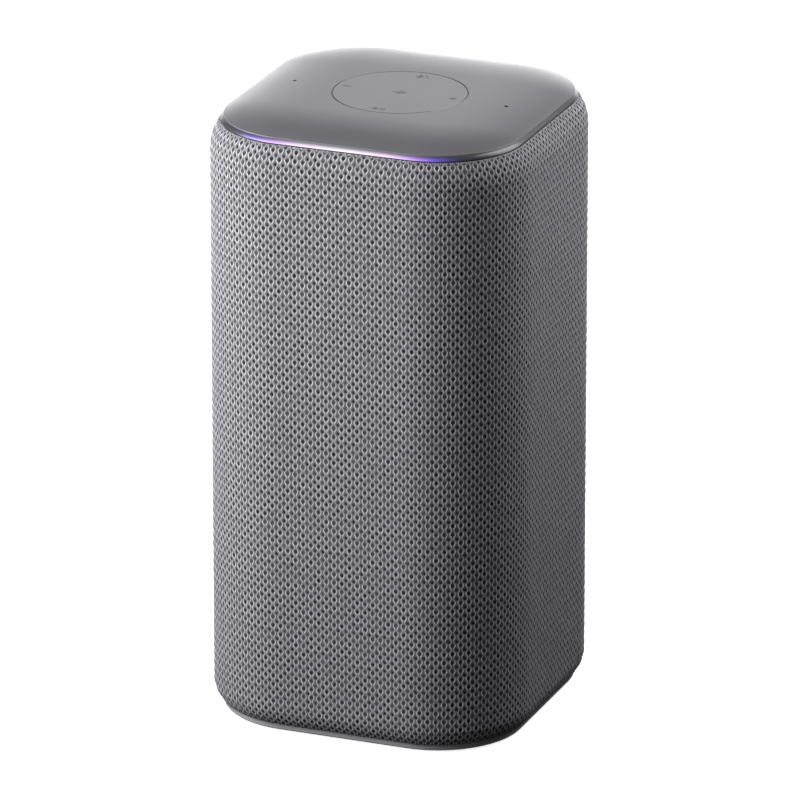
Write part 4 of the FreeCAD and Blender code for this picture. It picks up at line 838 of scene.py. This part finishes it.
def skin(name: str, points: Array, faces: Array, slot: Slot, sharp: float = 35.0) -> bpy.types.Object:
    """Makes a mesh object at the origin.

    Args:
        name: The piece's name.
        points: One row of x, y and z for each vertex, in metres.
        faces: Four vertex numbers for each face.
        slot: What it is made of.
        sharp: Edges that turn by more than this many degrees stay crisp.

    Returns:
        The new object.
    """
    mesh = bpy.data.meshes.new(name)
    mesh.from_pydata(np.ascontiguousarray(points.reshape(-1, 3)), [], faces)
    mesh.polygons.foreach_set("use_smooth", np.ones(len(mesh.polygons), bool))
    mesh.set_sharp_from_angle(angle=math.radians(sharp))
    mesh.materials.append(material_for(slot))
    made = bpy.data.objects.new(name, mesh)
    bpy.context.scene.collection.objects.link(made)
    return made


def closed_skin(name: str, grid: Array, slot: Slot, sharp: float = 35.0) -> bpy.types.Object:
    """A closed surface on a grid whose rows and columns join up. The faces are turned outwards if the
    volume, the sum of the wedges from the origin to each face, comes out negative.

    Args:
        name: The piece's name.
        grid: Points by row and column.
        slot: What it is made of.
        sharp: Edges that turn by more than this many degrees stay crisp.

    Returns:
        The new object.
    """
    faces = quads(grid.shape[0], grid.shape[1], True, True)
    flat = grid.reshape(-1, 3)
    a, b, c, d = (flat[faces[:, k]] for k in range(4))
    volume = (np.cross(a, b) * c).sum() + (np.cross(a, c) * d).sum()
    return skin(name, flat, faces[:, ::-1] if volume < 0 else faces, slot, sharp)


def lifted(flat: Array, heights: Array) -> Array:
    """Rows of flat points, each row set at its height."""
    return np.concatenate([flat, np.broadcast_to(heights[:, None, None], (*flat.shape[:2], 1))], -1)


def carried(outline: Outline, profile: Array, distance: Array) -> Array:
    """A profile of offsets and heights carried round an outline, each point moved outwards by its offset."""
    point, out = outline.walk(distance)
    return lifted(point[None] + profile[:, None, :1] * out[None], profile[:, 1])


def turned(profile: Array) -> Array:
    """A profile of radii and heights turned about the Z axis, by the cosine and sine of each angle."""
    angle = np.arange(TURN_STEPS) * TURN / TURN_STEPS
    return lifted(profile[:, None, :1] * np.stack([np.cos(angle), np.sin(angle)], -1)[None], profile[:, 1])


def arch(share: Array) -> Array:
    """Half an ellipse that stands on 0 and 1: the root of one less the square of twice the share less one."""
    return np.sqrt(np.maximum(1 - (2 * share - 1) ** 2, 0))


def ease(t: Array) -> Array:
    """A smooth step, three t squared less two t cubed, held to 0 and 1."""
    t = np.clip(t, 0, 1)
    return t * t * (3 - 2 * t)


# ---------------------------------------------------------------- sub-assemblies

BODY_OUTLINE = Outline(SLEEVE_HIGH.x, BODY_CORNER)
CAP_OUTLINE = Outline(COVER_HIGH.x, BODY_CORNER - (SLEEVE_HIGH.x - COVER_HIGH.x))


def housed(made: bpy.types.Object, node: str) -> bpy.types.Object:
    """Rides a piece on the housing in place of a CAD node."""
    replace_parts(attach(made, Body.HOUSING.value), node)
    return made


@dataclass
class Sleeve:
    """The knitted sleeve: a tube of stitches that rolls in at the foot and at the shoulder, and is cut out
    for the sockets at the back."""

    bottom: float = SLEEVE_LOW.z
    top: float = SLEEVE_HIGH.z
    roll: float = 11.0 * MM
    roll_inset: float = 3.6 * MM
    shoulder: float = 16.0 * MM
    shoulder_inset: float = 3.6 * MM
    thickness: float = 1.2 * MM
    columns: int = 142
    courses: int = 68
    course_steps: int = 7
    relief: float = 0.26 * MM
    sunk: float = 0.22 * MM
    panels: int = 8
    hem_steps: int = 12
    seed: int = 7
    unevenness: float = 0.1
    window_height: float = (PORT_LOW.z + PORT_HIGH.z) / 2
    window_gap: float = 0.05 * MM
    window_half: Pair = (PORT_HIGH.x + window_gap, (PORT_HIGH.z - PORT_LOW.z) / 2 + window_gap)
    window_corner: float = 3.5 * MM
    loop: Loop = Loop()

    def profile(self, share: Array) -> tuple[Array, Array]:
        """The sleeve's side view: a quarter-like arc at the foot, a straight wall, and an arc at the
        shoulder, by length along it.

        Args:
            share: 0 at the lower edge and 1 at the upper.

        Returns:
            Offset and height of each point, and the direction outwards there.
        """
        low = math.acos(1 - self.roll_inset / self.roll)
        high = math.acos(1 - self.shoulder_inset / self.shoulder)
        foot, crown = low * self.roll, high * self.shoulder
        wall_bottom = self.bottom + self.roll * math.sin(low)
        wall_top = self.top - self.shoulder * math.sin(high)
        gone = share * (foot + wall_top - wall_bottom + crown)
        under = np.minimum(gone / self.roll - low, 0)
        over = np.maximum(gone - foot - (wall_top - wall_bottom), 0) / self.shoulder
        offset = self.roll * (np.cos(under) - 1) + self.shoulder * (np.cos(over) - 1)
        height = (wall_bottom + self.roll * np.sin(under) + np.clip(gone - foot, 0, wall_top - wall_bottom)
                  + self.shoulder * np.sin(over))
        lean = under + over
        return np.stack([offset, height], -1), np.stack([np.cos(lean), np.sin(lean)], -1)

    def _lines(self, course: Array) -> Array:
        """Where the eight upright lines of a stitch stand at each height: two borders, a middle, and an
        edge, crest and edge for each strand, which sways by a cosine of the course.

        Args:
            course: How far up its course each row is, from 0 to 1.

        Returns:
            Eight shares of a stitch's width for each row.
        """
        swing = self.loop.middle - self.loop.sway * np.cos(TURN * course)
        yarn = self.loop.yarn + self.loop.swell * np.cos(TURN * course)
        left = [0 * swing, 0.5 - swing - yarn, 0.5 - swing, 0.5 - swing + yarn]
        return np.stack([*left, 0 * swing + 0.5, *(1 - line for line in left[:0:-1])], -1)

    def _heights(self, course: Array) -> Array:
        """How high each of those eight lines stands, as a share of the relief. Crests rise and fall with a
        cosine, and the middle and the border each dip in a bell curve where the knit is open.

        Args:
            course: How far up its course each row is, from 0 to 1.

        Returns:
            Eight heights for each row.
        """
        loop = self.loop
        crest = 1 - loop.wane + loop.wane * np.cos(TURN * (course - loop.crest))
        edge = loop.valley + loop.edge_rise * crest
        away = [(course - where + 0.5) % 1 - 0.5 for where in (loop.hollow, loop.between)]
        middle, border = (loop.valley - deep * np.exp(-(far / loop.dip_reach) ** 2)
                          for far, deep in zip(away, loop.dips))
        return np.stack([border, edge, crest, edge, middle, edge, crest, edge], -1)

    def _grid(self) -> tuple[Array, Array]:
        """All the knit's points, and how many stitches across and courses up each one is.

        Returns:
            The points by row and column, and a stitch and a course number for each.
        """
        rows = self.courses * self.course_steps + 1
        up = np.arange(rows) / self.course_steps
        base, lean = self.profile(up / self.courses)
        course = up % 1
        across = (np.arange(self.columns)[None, :, None] + self._lines(course)[:, None]).reshape(rows, -1)
        size = (self.courses + 1, self.columns, 1)
        chance = np.random.default_rng(self.seed).normal(1.0, self.unevenness, size)
        height = self._heights(course)[:, None] * chance[np.arange(rows) // self.course_steps]
        height = height.reshape(rows, -1)
        stand = height * self.relief - self.sunk
        point, out = BODY_OUTLINE.walk(across * (BODY_OUTLINE.length / self.columns))
        reach = base[:, :1] + stand * lean[:, :1]
        grid = np.empty((*across.shape, 3))
        grid[..., :2] = point + reach[..., None] * out
        grid[..., 2] = base[:, 1:] + stand * lean[:, 1:]
        return grid, np.stack([across, np.broadcast_to(up[:, None], across.shape)], -1)

    def _cut_window(self, grid: Array) -> Array:
        """Pulls the points inside the socket window out to its edge, along the steepest way out of a rounded
        rectangle.

        Args:
            grid: The knit's points, which are changed.

        Returns:
            Which points lay inside.
        """
        flat = np.stack([grid[..., 0], grid[..., 2] - self.window_height], -1)
        core = np.array(self.window_half) - self.window_corner
        beyond = np.abs(flat) - core
        spread = np.maximum(beyond, 0)
        far = np.linalg.norm(spread, axis=-1)
        depth = self.window_corner - far - np.minimum(beyond.max(-1), 0)
        inside = (depth > 0) & (grid[..., 1] > 0)
        edge_way = (beyond == beyond.max(-1, keepdims=True)).astype(float)
        way = np.where((far > 0)[..., None], spread / np.maximum(far, 1e-9)[..., None], edge_way)
        moved = flat + way * np.sign(flat) * depth[..., None]
        grid[..., 0] = np.where(inside, moved[..., 0], grid[..., 0])
        grid[..., 2] = np.where(inside, moved[..., 1] + self.window_height, grid[..., 2])
        grid[..., 1] = np.where(inside, BODY_OUTLINE.half - self.thickness, grid[..., 1])
        return inside

    @staticmethod
    def _normals(grid: Array) -> Array:
        """The direction outwards at each point, from the cross product of the steps to its neighbours.

        Args:
            grid: The knit's points.

        Returns:
            A unit vector for each point.
        """
        on = np.roll(grid, -1, 1) - np.roll(grid, 1, 1)
        up = np.gradient(grid, axis=0)
        out = np.cross(on, up)
        return out / np.maximum(np.linalg.norm(out, axis=-1, keepdims=True), 1e-12)

    def build(self) -> list[bpy.types.Object]:
        """Cuts the tube of knit into panels of whole strands, and adds the turned hems that close it.

        Returns:
            The panels and the hems.
        """
        grid, stitch = self._grid()
        normals = self._normals(grid)
        inside = self._cut_window(grid)
        rows, across = grid.shape[:2]
        made = []
        for panel, span in enumerate(np.array_split(np.arange(across), self.panels)):
            use = np.append(span, (span[-1] + 1) % across)
            faces = quads(rows, len(use), False, False)
            faces = faces[~inside[:, use].ravel()[faces].all(-1)]
            uv = stitch[:, use].copy()
            uv[:, -1, 0] += self.columns * (use[-1] == 0)
            made.append(self._panel(f"knit_panel_{panel + 1}", grid[:, use], faces, uv, normals[:, use]))
        made += [self._hem("knit_hem_top", 1.0, -1), self._hem("knit_hem_bottom", 0.0, 1)]
        return made

    @staticmethod
    def _panel(name: str, grid: Array, faces: Array, uv: Array, normals: Array) -> bpy.types.Object:
        """One panel, with the whole tube's normals so that no seam shows.

        Args:
            name: The piece's name.
            grid: The panel's points.
            faces: Its faces.
            uv: Stitches across and courses up for each point.
            normals: The direction outwards at each point.

        Returns:
            The panel.
        """
        made = skin(name, grid, faces, Slot.KNIT, 180.0)
        Sleeve._number(made, uv)
        made.data.normals_split_custom_set_from_vertices(normals.reshape(-1, 3))
        return made

    @staticmethod
    def _number(made: bpy.types.Object, uv: Array) -> None:
        """Gives a piece the UV map that counts stitches.

        Args:
            made: The piece.
            uv: Stitches across and courses up for each vertex.
        """
        corners = np.empty(len(made.data.loops), np.int32)
        made.data.loops.foreach_get("vertex_index", corners)
        made.data.uv_layers.new(name="knit").data.foreach_set("uv", uv.reshape(-1, 2)[corners].ravel())

    def _hem(self, name: str, share: float, way: int) -> bpy.types.Object:
        """The folded edge of the sleeve, a small rounded roll of cloth carried round it.

        Args:
            name: The piece's name.
            share: Which edge it lies on, 0 for the lower and 1 for the upper.
            way: Which way the sleeve lies from this edge, 1 for up.

        Returns:
            The hem.
        """
        (offset, height), = self.profile(np.array([share]))[0]
        angle = np.linspace(0, TURN, self.hem_steps, False)
        half = self.thickness / 2
        middle = np.array([offset - half, height + way * half])
        profile = middle + half * np.stack([np.cos(angle), np.sin(angle)], -1)
        grid = carried(BODY_OUTLINE, profile, BODY_OUTLINE.stations())
        made = closed_skin(name, grid, Slot.KNIT)
        stitches = np.arange(grid.shape[1])[None] * self.columns / grid.shape[1]
        self._number(made, np.stack(np.broadcast_arrays(stitches, angle[:, None] / TURN), -1))
        return made

    def dress(self) -> list[bpy.types.Object]:
        """Builds the sleeve in place of its plain CAD solid."""
        return [housed(piece, "fabric_sleeve") for piece in self.build()]


@dataclass
class Cap:
    """The cap: a shallow dome with a round hole for the touch disc, a softly rounded edge, and two
    pinholes."""

    edge: Outline = CAP_OUTLINE
    hole: float = DISC_HIGH.x + SEAT_GAP
    top: float = COVER_HIGH.z
    edge_height: float = 0.6 * MM
    level_margin: float = 3.0 * MM
    fall: float = CAP_OUTLINE.half - (SLEEVE_HIGH.x - BODY_CORNER) - level_margin
    fall_powers: tuple[int, int] = (2, 5)
    rim_bottom: float = RING_HIGH.z + RIM_LAP
    rim_round: float = 0.3 * MM
    rim_steps: int = 7
    wall: float = 1.6 * MM
    chamfer: float = 0.15 * MM
    rows: int = 72
    mic_depth: float = 1.4 * MM
    mic_rows: int = 17
    mic_columns: int = 25
    mic_margins: Pair = (1.4, 1.9)  # how far the fine rows and columns reach, in pinhole radii

    def dome(self, point: Array) -> Array:
        """The height of the cap's top, flat in the middle and falling ever faster towards the edge: half by
        the square of the nearness to the edge, and half by its fifth power.

        Args:
            point: Points, each with an x and a y in its last axis.

        Returns:
            A height for each point.
        """
        near = np.clip(1 - self.edge.inset(point) / self.fall, 0, 1)
        drop = self.top - RING_HIGH.z - self.edge_height
        return self.top - drop * sum(0.5 * near**power for power in self.fall_powers)

    def _shares(self) -> Array:
        """How far each row lies from the hole to the edge, with fine rows across the pinholes.

        Returns:
            Shares from 0 to 1, in order.
        """
        across = self.edge.half - self.hole
        pin, wide = (MIC_REACH - self.hole) / across, MIC_RADIUS * self.mic_margins[0] / across
        return np.union1d(np.linspace(0, 1, self.rows), np.linspace(pin - wide, pin + wide, self.mic_rows))

    def _stations(self) -> Array:
        """Where the columns stand, with fine ones across the pinholes, which lie at the middle of each side
        wall.

        Returns:
            Distances round the cap's edge, in order.
        """
        wide = MIC_RADIUS * self.mic_margins[1]
        fine = np.linspace(-wide, wide, self.mic_columns)
        quarter = self.edge.length / 4
        pins = np.concatenate([fine + quarter, fine + 3 * quarter])
        return np.union1d(self.edge.stations(*RIM_STEPS), pins)

    def build(self) -> bpy.types.Object:
        """The top runs from the hole to the edge, the rim turns down a quarter round, and the underside
        runs back on every sixth row.

        Returns:
            The cap.
        """
        rim, out = self.edge.walk(self._stations())
        centre = rim / np.linalg.norm(rim, axis=-1, keepdims=True) * self.hole
        shares = self._shares()
        inner = self.rim_round / (self.edge.half - self.hole)
        flat = centre + (rim - centre) * (shares[:, None, None] * (1 - inner))
        top = np.concatenate([flat, self.dome(flat)[..., None]], -1)
        reach = np.hypot(np.abs(flat[..., 0]) - MIC_REACH, flat[..., 1])
        top[..., 2] -= self.mic_depth * (reach < MIC_RADIUS)
        last = top[-1]
        slip = np.linalg.norm(rim - last[:, :2], axis=-1)
        turn = np.stack([np.column_stack([last[:, :2] + out * (slip * math.sin(a))[:, None],
                                          last[:, 2] - self.rim_round * (1 - math.cos(a))])
                         for a in np.linspace(0, math.pi / 2, self.rim_steps)[1:]])
        skirt = [np.column_stack([rim + out * offset, np.full(len(rim), height)])
                 for offset, height in ((0, self.rim_bottom), (-self.wall, self.rim_bottom))]
        under = np.concatenate([flat[-4::-6], self.dome(flat)[-4::-6, :, None] - self.wall], -1)
        well = [np.column_stack([centre, np.full(len(rim), self.top - depth)])
                for depth in (self.wall, self.chamfer)]
        top[0, :, :2] *= 1 + self.chamfer / self.hole
        grid = np.concatenate([top, turn, np.stack(skirt), under, np.stack(well)])
        return closed_skin("cap_dome", grid, Slot.CAP, sharp=32.0)

    def dress(self) -> list[bpy.types.Object]:
        """Builds the cap in place of its CAD solid."""
        return [housed(self.build(), "top_cover")]


@dataclass
class LightBand:
    """The diffuser under the cap's edge: it leans in towards the cap and bulges a little."""

    bottom: float = RING_LOW.z
    top: float = RING_HIGH.z + RIM_LAP
    out_bottom: float = RING_HIGH.x - SLEEVE_HIGH.x
    out_top: float = COVER_HIGH.x - SLEEVE_HIGH.x
    depth: float = 4.6 * MM
    bulge: float = 0.2 * MM
    steps: int = 9

    def build(self) -> bpy.types.Object:
        """The face is a straight line with half a sine wave on it, and the back is square.

        Returns:
            The band.
        """
        share = np.linspace(0, 1, self.steps)
        lean = (self.out_top - self.out_bottom) * share
        offset = self.out_bottom + lean + self.bulge * np.sin(math.pi * share)
        face = np.stack([offset, self.bottom + (self.top - self.bottom) * share], -1)
        inner = self.out_bottom - self.depth
        profile = np.concatenate([face, [[inner, self.top], [inner, self.bottom]]])
        grid = carried(BODY_OUTLINE, profile, BODY_OUTLINE.stations(*RIM_STEPS))
        return closed_skin("light_band", grid, Slot.LIGHT)

    def dress(self) -> list[bpy.types.Object]:
        """Builds the band in place of its CAD solid."""
        return [housed(self.build(), "light_ring")]


@dataclass
class Suspension:
    """The soft parts that let a cone or a plate move. Each is a closed ring that stands in for its CAD node."""

    skin_thick: float = 0.7 * MM
    glue: float = 3.0 * MM
    roll_gap: float = 0.2 * MM
    roll_steps: int = 21
    spider_inner: float = 13.0 * MM
    spider_lift: float = 0.1 * MM
    spider_wave: float = 0.65 * MM
    spider_waves: float = 2.5
    spider_thick: float = 0.5 * MM
    spider_steps: int = 61
    fade: float = 8.0  # how many times faster than the share the spider's waves grow in from each rim
    radiator_lip: float = 2.3 * MM
    radiator_roll: float = 8.0 * MM
    radiator_corner: float = 18.6 * MM
    radiator_seat: float = 0.8 * MM
    radiator_gap: float = 0.1 * MM
    radiator_steps: int = 17
    radiator_columns: tuple[int, int] = (8, 16)

    def _bend(self, made: bpy.types.Object, nearness: Array, node: str,
              ends: Array) -> bpy.types.Object:
        """Sets the ring's place into its points, and hides the CAD node that it stands in for.

        Args:
            made: The ring.
            nearness: 0 where it is glued to the frame and 1 where it is glued to what moves, for each vertex.
                It is eased, but the result is not used.
            node: The CAD node it stands for.
            ends: A point on the outer glue and one on the inner. Not used.

        Returns:
            The ring.
        """
        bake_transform(made)
        ease(nearness).astype(np.float32)
        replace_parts(made, node)
        return made

    def woofer_surround(self) -> bpy.types.Object:
        """A half roll that hangs below two flat lips: its drop is a half ellipse across the roll.

        Returns:
            The ring.
        """
        lip = self.glue
        lowest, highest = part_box("woofer_surround")
        outer, inner = highest.x - lip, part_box("woofer_cone")[1].x
        low = highest.z
        drop = low - lowest.z - self.skin_thick - self.roll_gap
        across = np.linspace(0, 1, self.roll_steps)
        roll = np.stack([outer + (inner - outer) * across, low - drop * arch(across)], -1)
        upper = np.concatenate([[[outer + lip, low]], roll, [[inner - lip, low]]])
        lower = upper[::-1] - [0, self.skin_thick]
        lower[1:-1, 1] = np.maximum(lower[1:-1, 1], low - drop - self.skin_thick)
        grid = turned(np.concatenate([upper, lower]))
        made = closed_skin("woofer_surround_roll", grid, Slot.SURROUND)
        reach = np.linalg.norm(grid.reshape(-1, 3)[:, :2], axis=-1)
        return self._bend(made, (outer - reach) / (outer - inner), "woofer_surround",
                          np.array([[outer, 0, low], [inner, 0, low]]))

    def woofer_spider(self) -> bpy.types.Object:
        """A corrugated disc: two and a half waves of a sine across it, dying away at both rims.

        Returns:
            The disc.
        """
        lowest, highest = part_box("woofer_spider")
        outer, flat, inner = highest.x, highest.x - self.glue, self.spider_inner
        middle, thick = (lowest.z + highest.z) / 2 + self.spider_lift, self.spider_thick
        reach = np.linspace(outer, inner, self.spider_steps)
        share = np.clip((flat - reach) / (flat - inner), 0, 1)
        wave = self.spider_wave * np.sin(self.spider_waves * TURN * share)
        height = middle + wave * ease(share * self.fade) * ease((1 - share) * self.fade)
        upper = np.stack([reach, height + thick / 2], -1)
        grid = turned(np.concatenate([upper, upper[::-1] - [0, thick]]))
        made = closed_skin("woofer_spider_cloth", grid, Slot.SPIDER)
        reach = np.linalg.norm(grid.reshape(-1, 3)[:, :2], axis=-1)
        return self._bend(made, (flat - reach) / (flat - inner), "woofer_spider",
                          np.array([[flat, 0, middle], [inner, 0, middle]]))

    def radiator_surround(self, side: int) -> bpy.types.Object:
        """A half roll round a tall rounded plate: it bulges outwards by half an ellipse across the roll.

        Args:
            side: 1 for the right radiator and -1 for the left.

        Returns:
            The ring.
        """
        name = "right" if side > 0 else "left"
        lowest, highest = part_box("right_radiator_surround")
        lip, roll = self.radiator_lip, self.radiator_roll
        wide, tall = highest.y - lip, (highest.z - lowest.z) / 2 - lip
        height, face = (highest.z + lowest.z) / 2, lowest.x + self.radiator_seat
        bulge = highest.x - face - self.radiator_gap
        across = np.linspace(0, 1, self.radiator_steps)
        outer = np.stack([-roll * across, face + bulge * arch(across)], -1)
        upper = np.concatenate([[[lip, face]], outer, [[-roll - self.glue, face]]])
        profile = np.concatenate([upper, upper[::-1] - [0, self.skin_thick]])
        path = Outline(wide, self.radiator_corner)
        point, out = path.walk(path.stations(*self.radiator_columns))
        point[:, 1] += np.sign(point[:, 1]) * (tall - wide)
        flat = point[None] + profile[:, None, :1] * out[None]
        depth = np.broadcast_to(profile[:, None, 1], flat.shape[:2]) * side
        grid = np.stack([depth, flat[..., 0], flat[..., 1] + height], -1)
        made = closed_skin(f"{name}_radiator_roll", grid, Slot.SURROUND)
        nearness = np.broadcast_to(-profile[:, None, 0] / roll, flat.shape[:2]).ravel()
        moving = Body.RIGHT_RADIATOR if side > 0 else Body.LEFT_RADIATOR
        return self._bend(made, nearness, f"{name}_radiator_surround",
                          np.array([[face * side, wide, height], [face * side, wide - roll, height]]))

    def dress(self) -> list[bpy.types.Object]:
        """Builds all four rings."""
        return [self.woofer_surround(), self.woofer_spider(), *map(self.radiator_surround, (1, -1))]


@dataclass
class CadParts:
    """The CAD nodes that are shown as they are, each in its own slot's finish."""

    def dress(self) -> list[bpy.types.Object]:
        """Gives every CAD node its slot's material.

        Returns:
            The CAD nodes.
        """
        slots = {row["node"]: Slot(row["material_slot"]) for row in frame["record"]["subparts"]}
        for name, node in frame["nodes"].items():
            finish = material_for(slots[name])
            if not node.material_slots:
                node.data.materials.append(finish)
            for place in node.material_slots:
                place.material = finish
        return list(frame["nodes"].values())


# ---------------------------------------------------------------- the studio

AIM_HEIGHT = 0.1155


def aimed(name: str, data: bpy.types.ID, azimuth: float, elevation: float,
          distance: float) -> bpy.types.Object:
    """Stands a lamp or a camera round the object and turns it to face the point that the studio aims at.

    Args:
        name: The new object's name.
        data: The lamp or the camera.
        azimuth: Degrees from the front towards the object's right side, +X.
        elevation: Degrees above the horizon.
        distance: Metres from that point.

    Returns:
        The new object.
    """
    a, e = math.radians(azimuth), math.radians(elevation)
    away = Vector((math.sin(a) * math.cos(e), -math.cos(a) * math.cos(e), math.sin(e)))
    made = bpy.data.objects.new(name, data)
    made.location = Vector((0, 0, AIM_HEIGHT)) + away * distance
    made.rotation_euler = (-away).to_track_quat("-Z", "Y").to_euler()
    bpy.context.scene.collection.objects.link(made)
    return made


@dataclass(frozen=True)
class Softbox:
    """A rectangle of even light that faces the object."""

    name: str
    azimuth: float
    elevation: float
    distance: float
    size: Pair
    watts: float

    def light(self) -> None:
        """Sets the lamp up, out of the camera's sight."""
        lamp = bpy.data.lights.new(self.name, "AREA")
        lamp.shape, lamp.size, lamp.size_y = "RECTANGLE", *self.size
        lamp.energy = self.watts
        aimed(self.name, lamp, self.azimuth, self.elevation, self.distance).visible_camera = False


@dataclass
class Studio:
    """A pale floor, soft lamps, a pale sky and the camera."""

    azimuth: float = 21.57
    elevation: float = 20.01
    distance: float = 3.2
    view_width: float = 299.4 * MM
    sensor: float = 36.0
    floor_colour: Colour = (0.86, 0.86, 0.865)
    floor_flat: Pair = (0.02, 5.0)
    floor_curl: Pair = (5.3, 9.0)
    curl: float = 0.35
    drop: float = 0.05 * MM  # the floor lies this far under the feet, so that no two faces coincide
    sky: float = 0.035
    softboxes: tuple[Softbox, ...] = (
        Softbox("left_key", -48, 25, 0.45, (0.3, 0.3), 3.0),
        Softbox("front_fill", -20, 25, 0.45, (0.3, 0.3), 0.42),
        Softbox("low_fill", -20, 4, 0.8, (0.8, 0.2), 0.6),
        Softbox("right_back", 120, 45, 0.45, (0.3, 0.3), 1.9),
        Softbox("back_edge", 200, 6, 1.5, (1.6, 0.7), 12.5),
    )

    def floor(self) -> None:
        """A round floor that curves up far away: its height grows with the square of the distance past its
        flat part."""
        reach = np.concatenate([np.linspace(*self.floor_flat, 24), np.linspace(*self.floor_curl, 16)])
        height = self.curl * np.maximum(reach - self.floor_flat[1], 0) ** 2 - self.drop
        grid = np.concatenate([np.zeros((1, TURN_STEPS, 3)), turned(np.stack([reach, height], -1))])
        made = skin("floor", grid, quads(len(grid), TURN_STEPS, False, True), Slot.BASE, 180.0)
        made.data.materials[0] = self.floor_material()
        made.visible_diffuse = made.visible_glossy = False

    def floor_material(self) -> bpy.types.Material:
        """Matt pale paper with a faint cloud.

        Returns:
            The finished material.
        """
        nodes = Nodes("pale_paper")
        cloud = nodes.noise(nodes.place(), 3.0, 2.0)
        base = nodes.mix(cloud, tuple(c * 0.99 for c in self.floor_colour), self.floor_colour)
        return nodes.finish(Base_Color=base, Roughness=0.9, Specular_IOR_Level=0.1,
                            Emission_Color=(1.0, 1.0, 1.0), Emission_Strength=0.85)

    def world(self) -> None:
        """An even pale sky."""
        world = bpy.data.worlds.new("pale_sky")
        world.use_nodes = True
        back = world.node_tree.nodes["Background"]
        back.inputs["Color"].default_value = (1.0, 1.0, 1.0, 1.0)
        back.inputs["Strength"].default_value = self.sky
        bpy.context.scene.world = world

    def camera(self) -> None:
        """A long lens whose view is as wide as view_width where the object stands."""
        lens = bpy.data.cameras.new("camera")
        lens.sensor_width = self.sensor
        lens.lens = self.sensor * self.distance / self.view_width
        lens.clip_start, lens.clip_end = 0.1, 60.0
        bpy.context.scene.camera = aimed("camera", lens, self.azimuth, self.elevation, self.distance)

    def set_up(self) -> None:
        """Builds the studio."""
        self.camera()
        self.floor()
        self.world()
        for softbox in self.softboxes:
            softbox.light()
        bpy.context.scene.view_settings.view_transform = "Standard"


def main() -> None:
    """Builds the studio and each sub-assembly, and logs the name and the number of faces of each piece."""
    logging.basicConfig(level=logging.INFO, format="%(message)s")
    Studio().set_up()
    for assembly in (CadParts(), Sleeve(), Cap(), LightBand(), Suspension()):
        for piece in assembly.dress():
            log.info("%s: %s, %d faces", type(assembly).__name__, piece.name, len(piece.data.polygons))


if __name__ == "__main__":
    main()
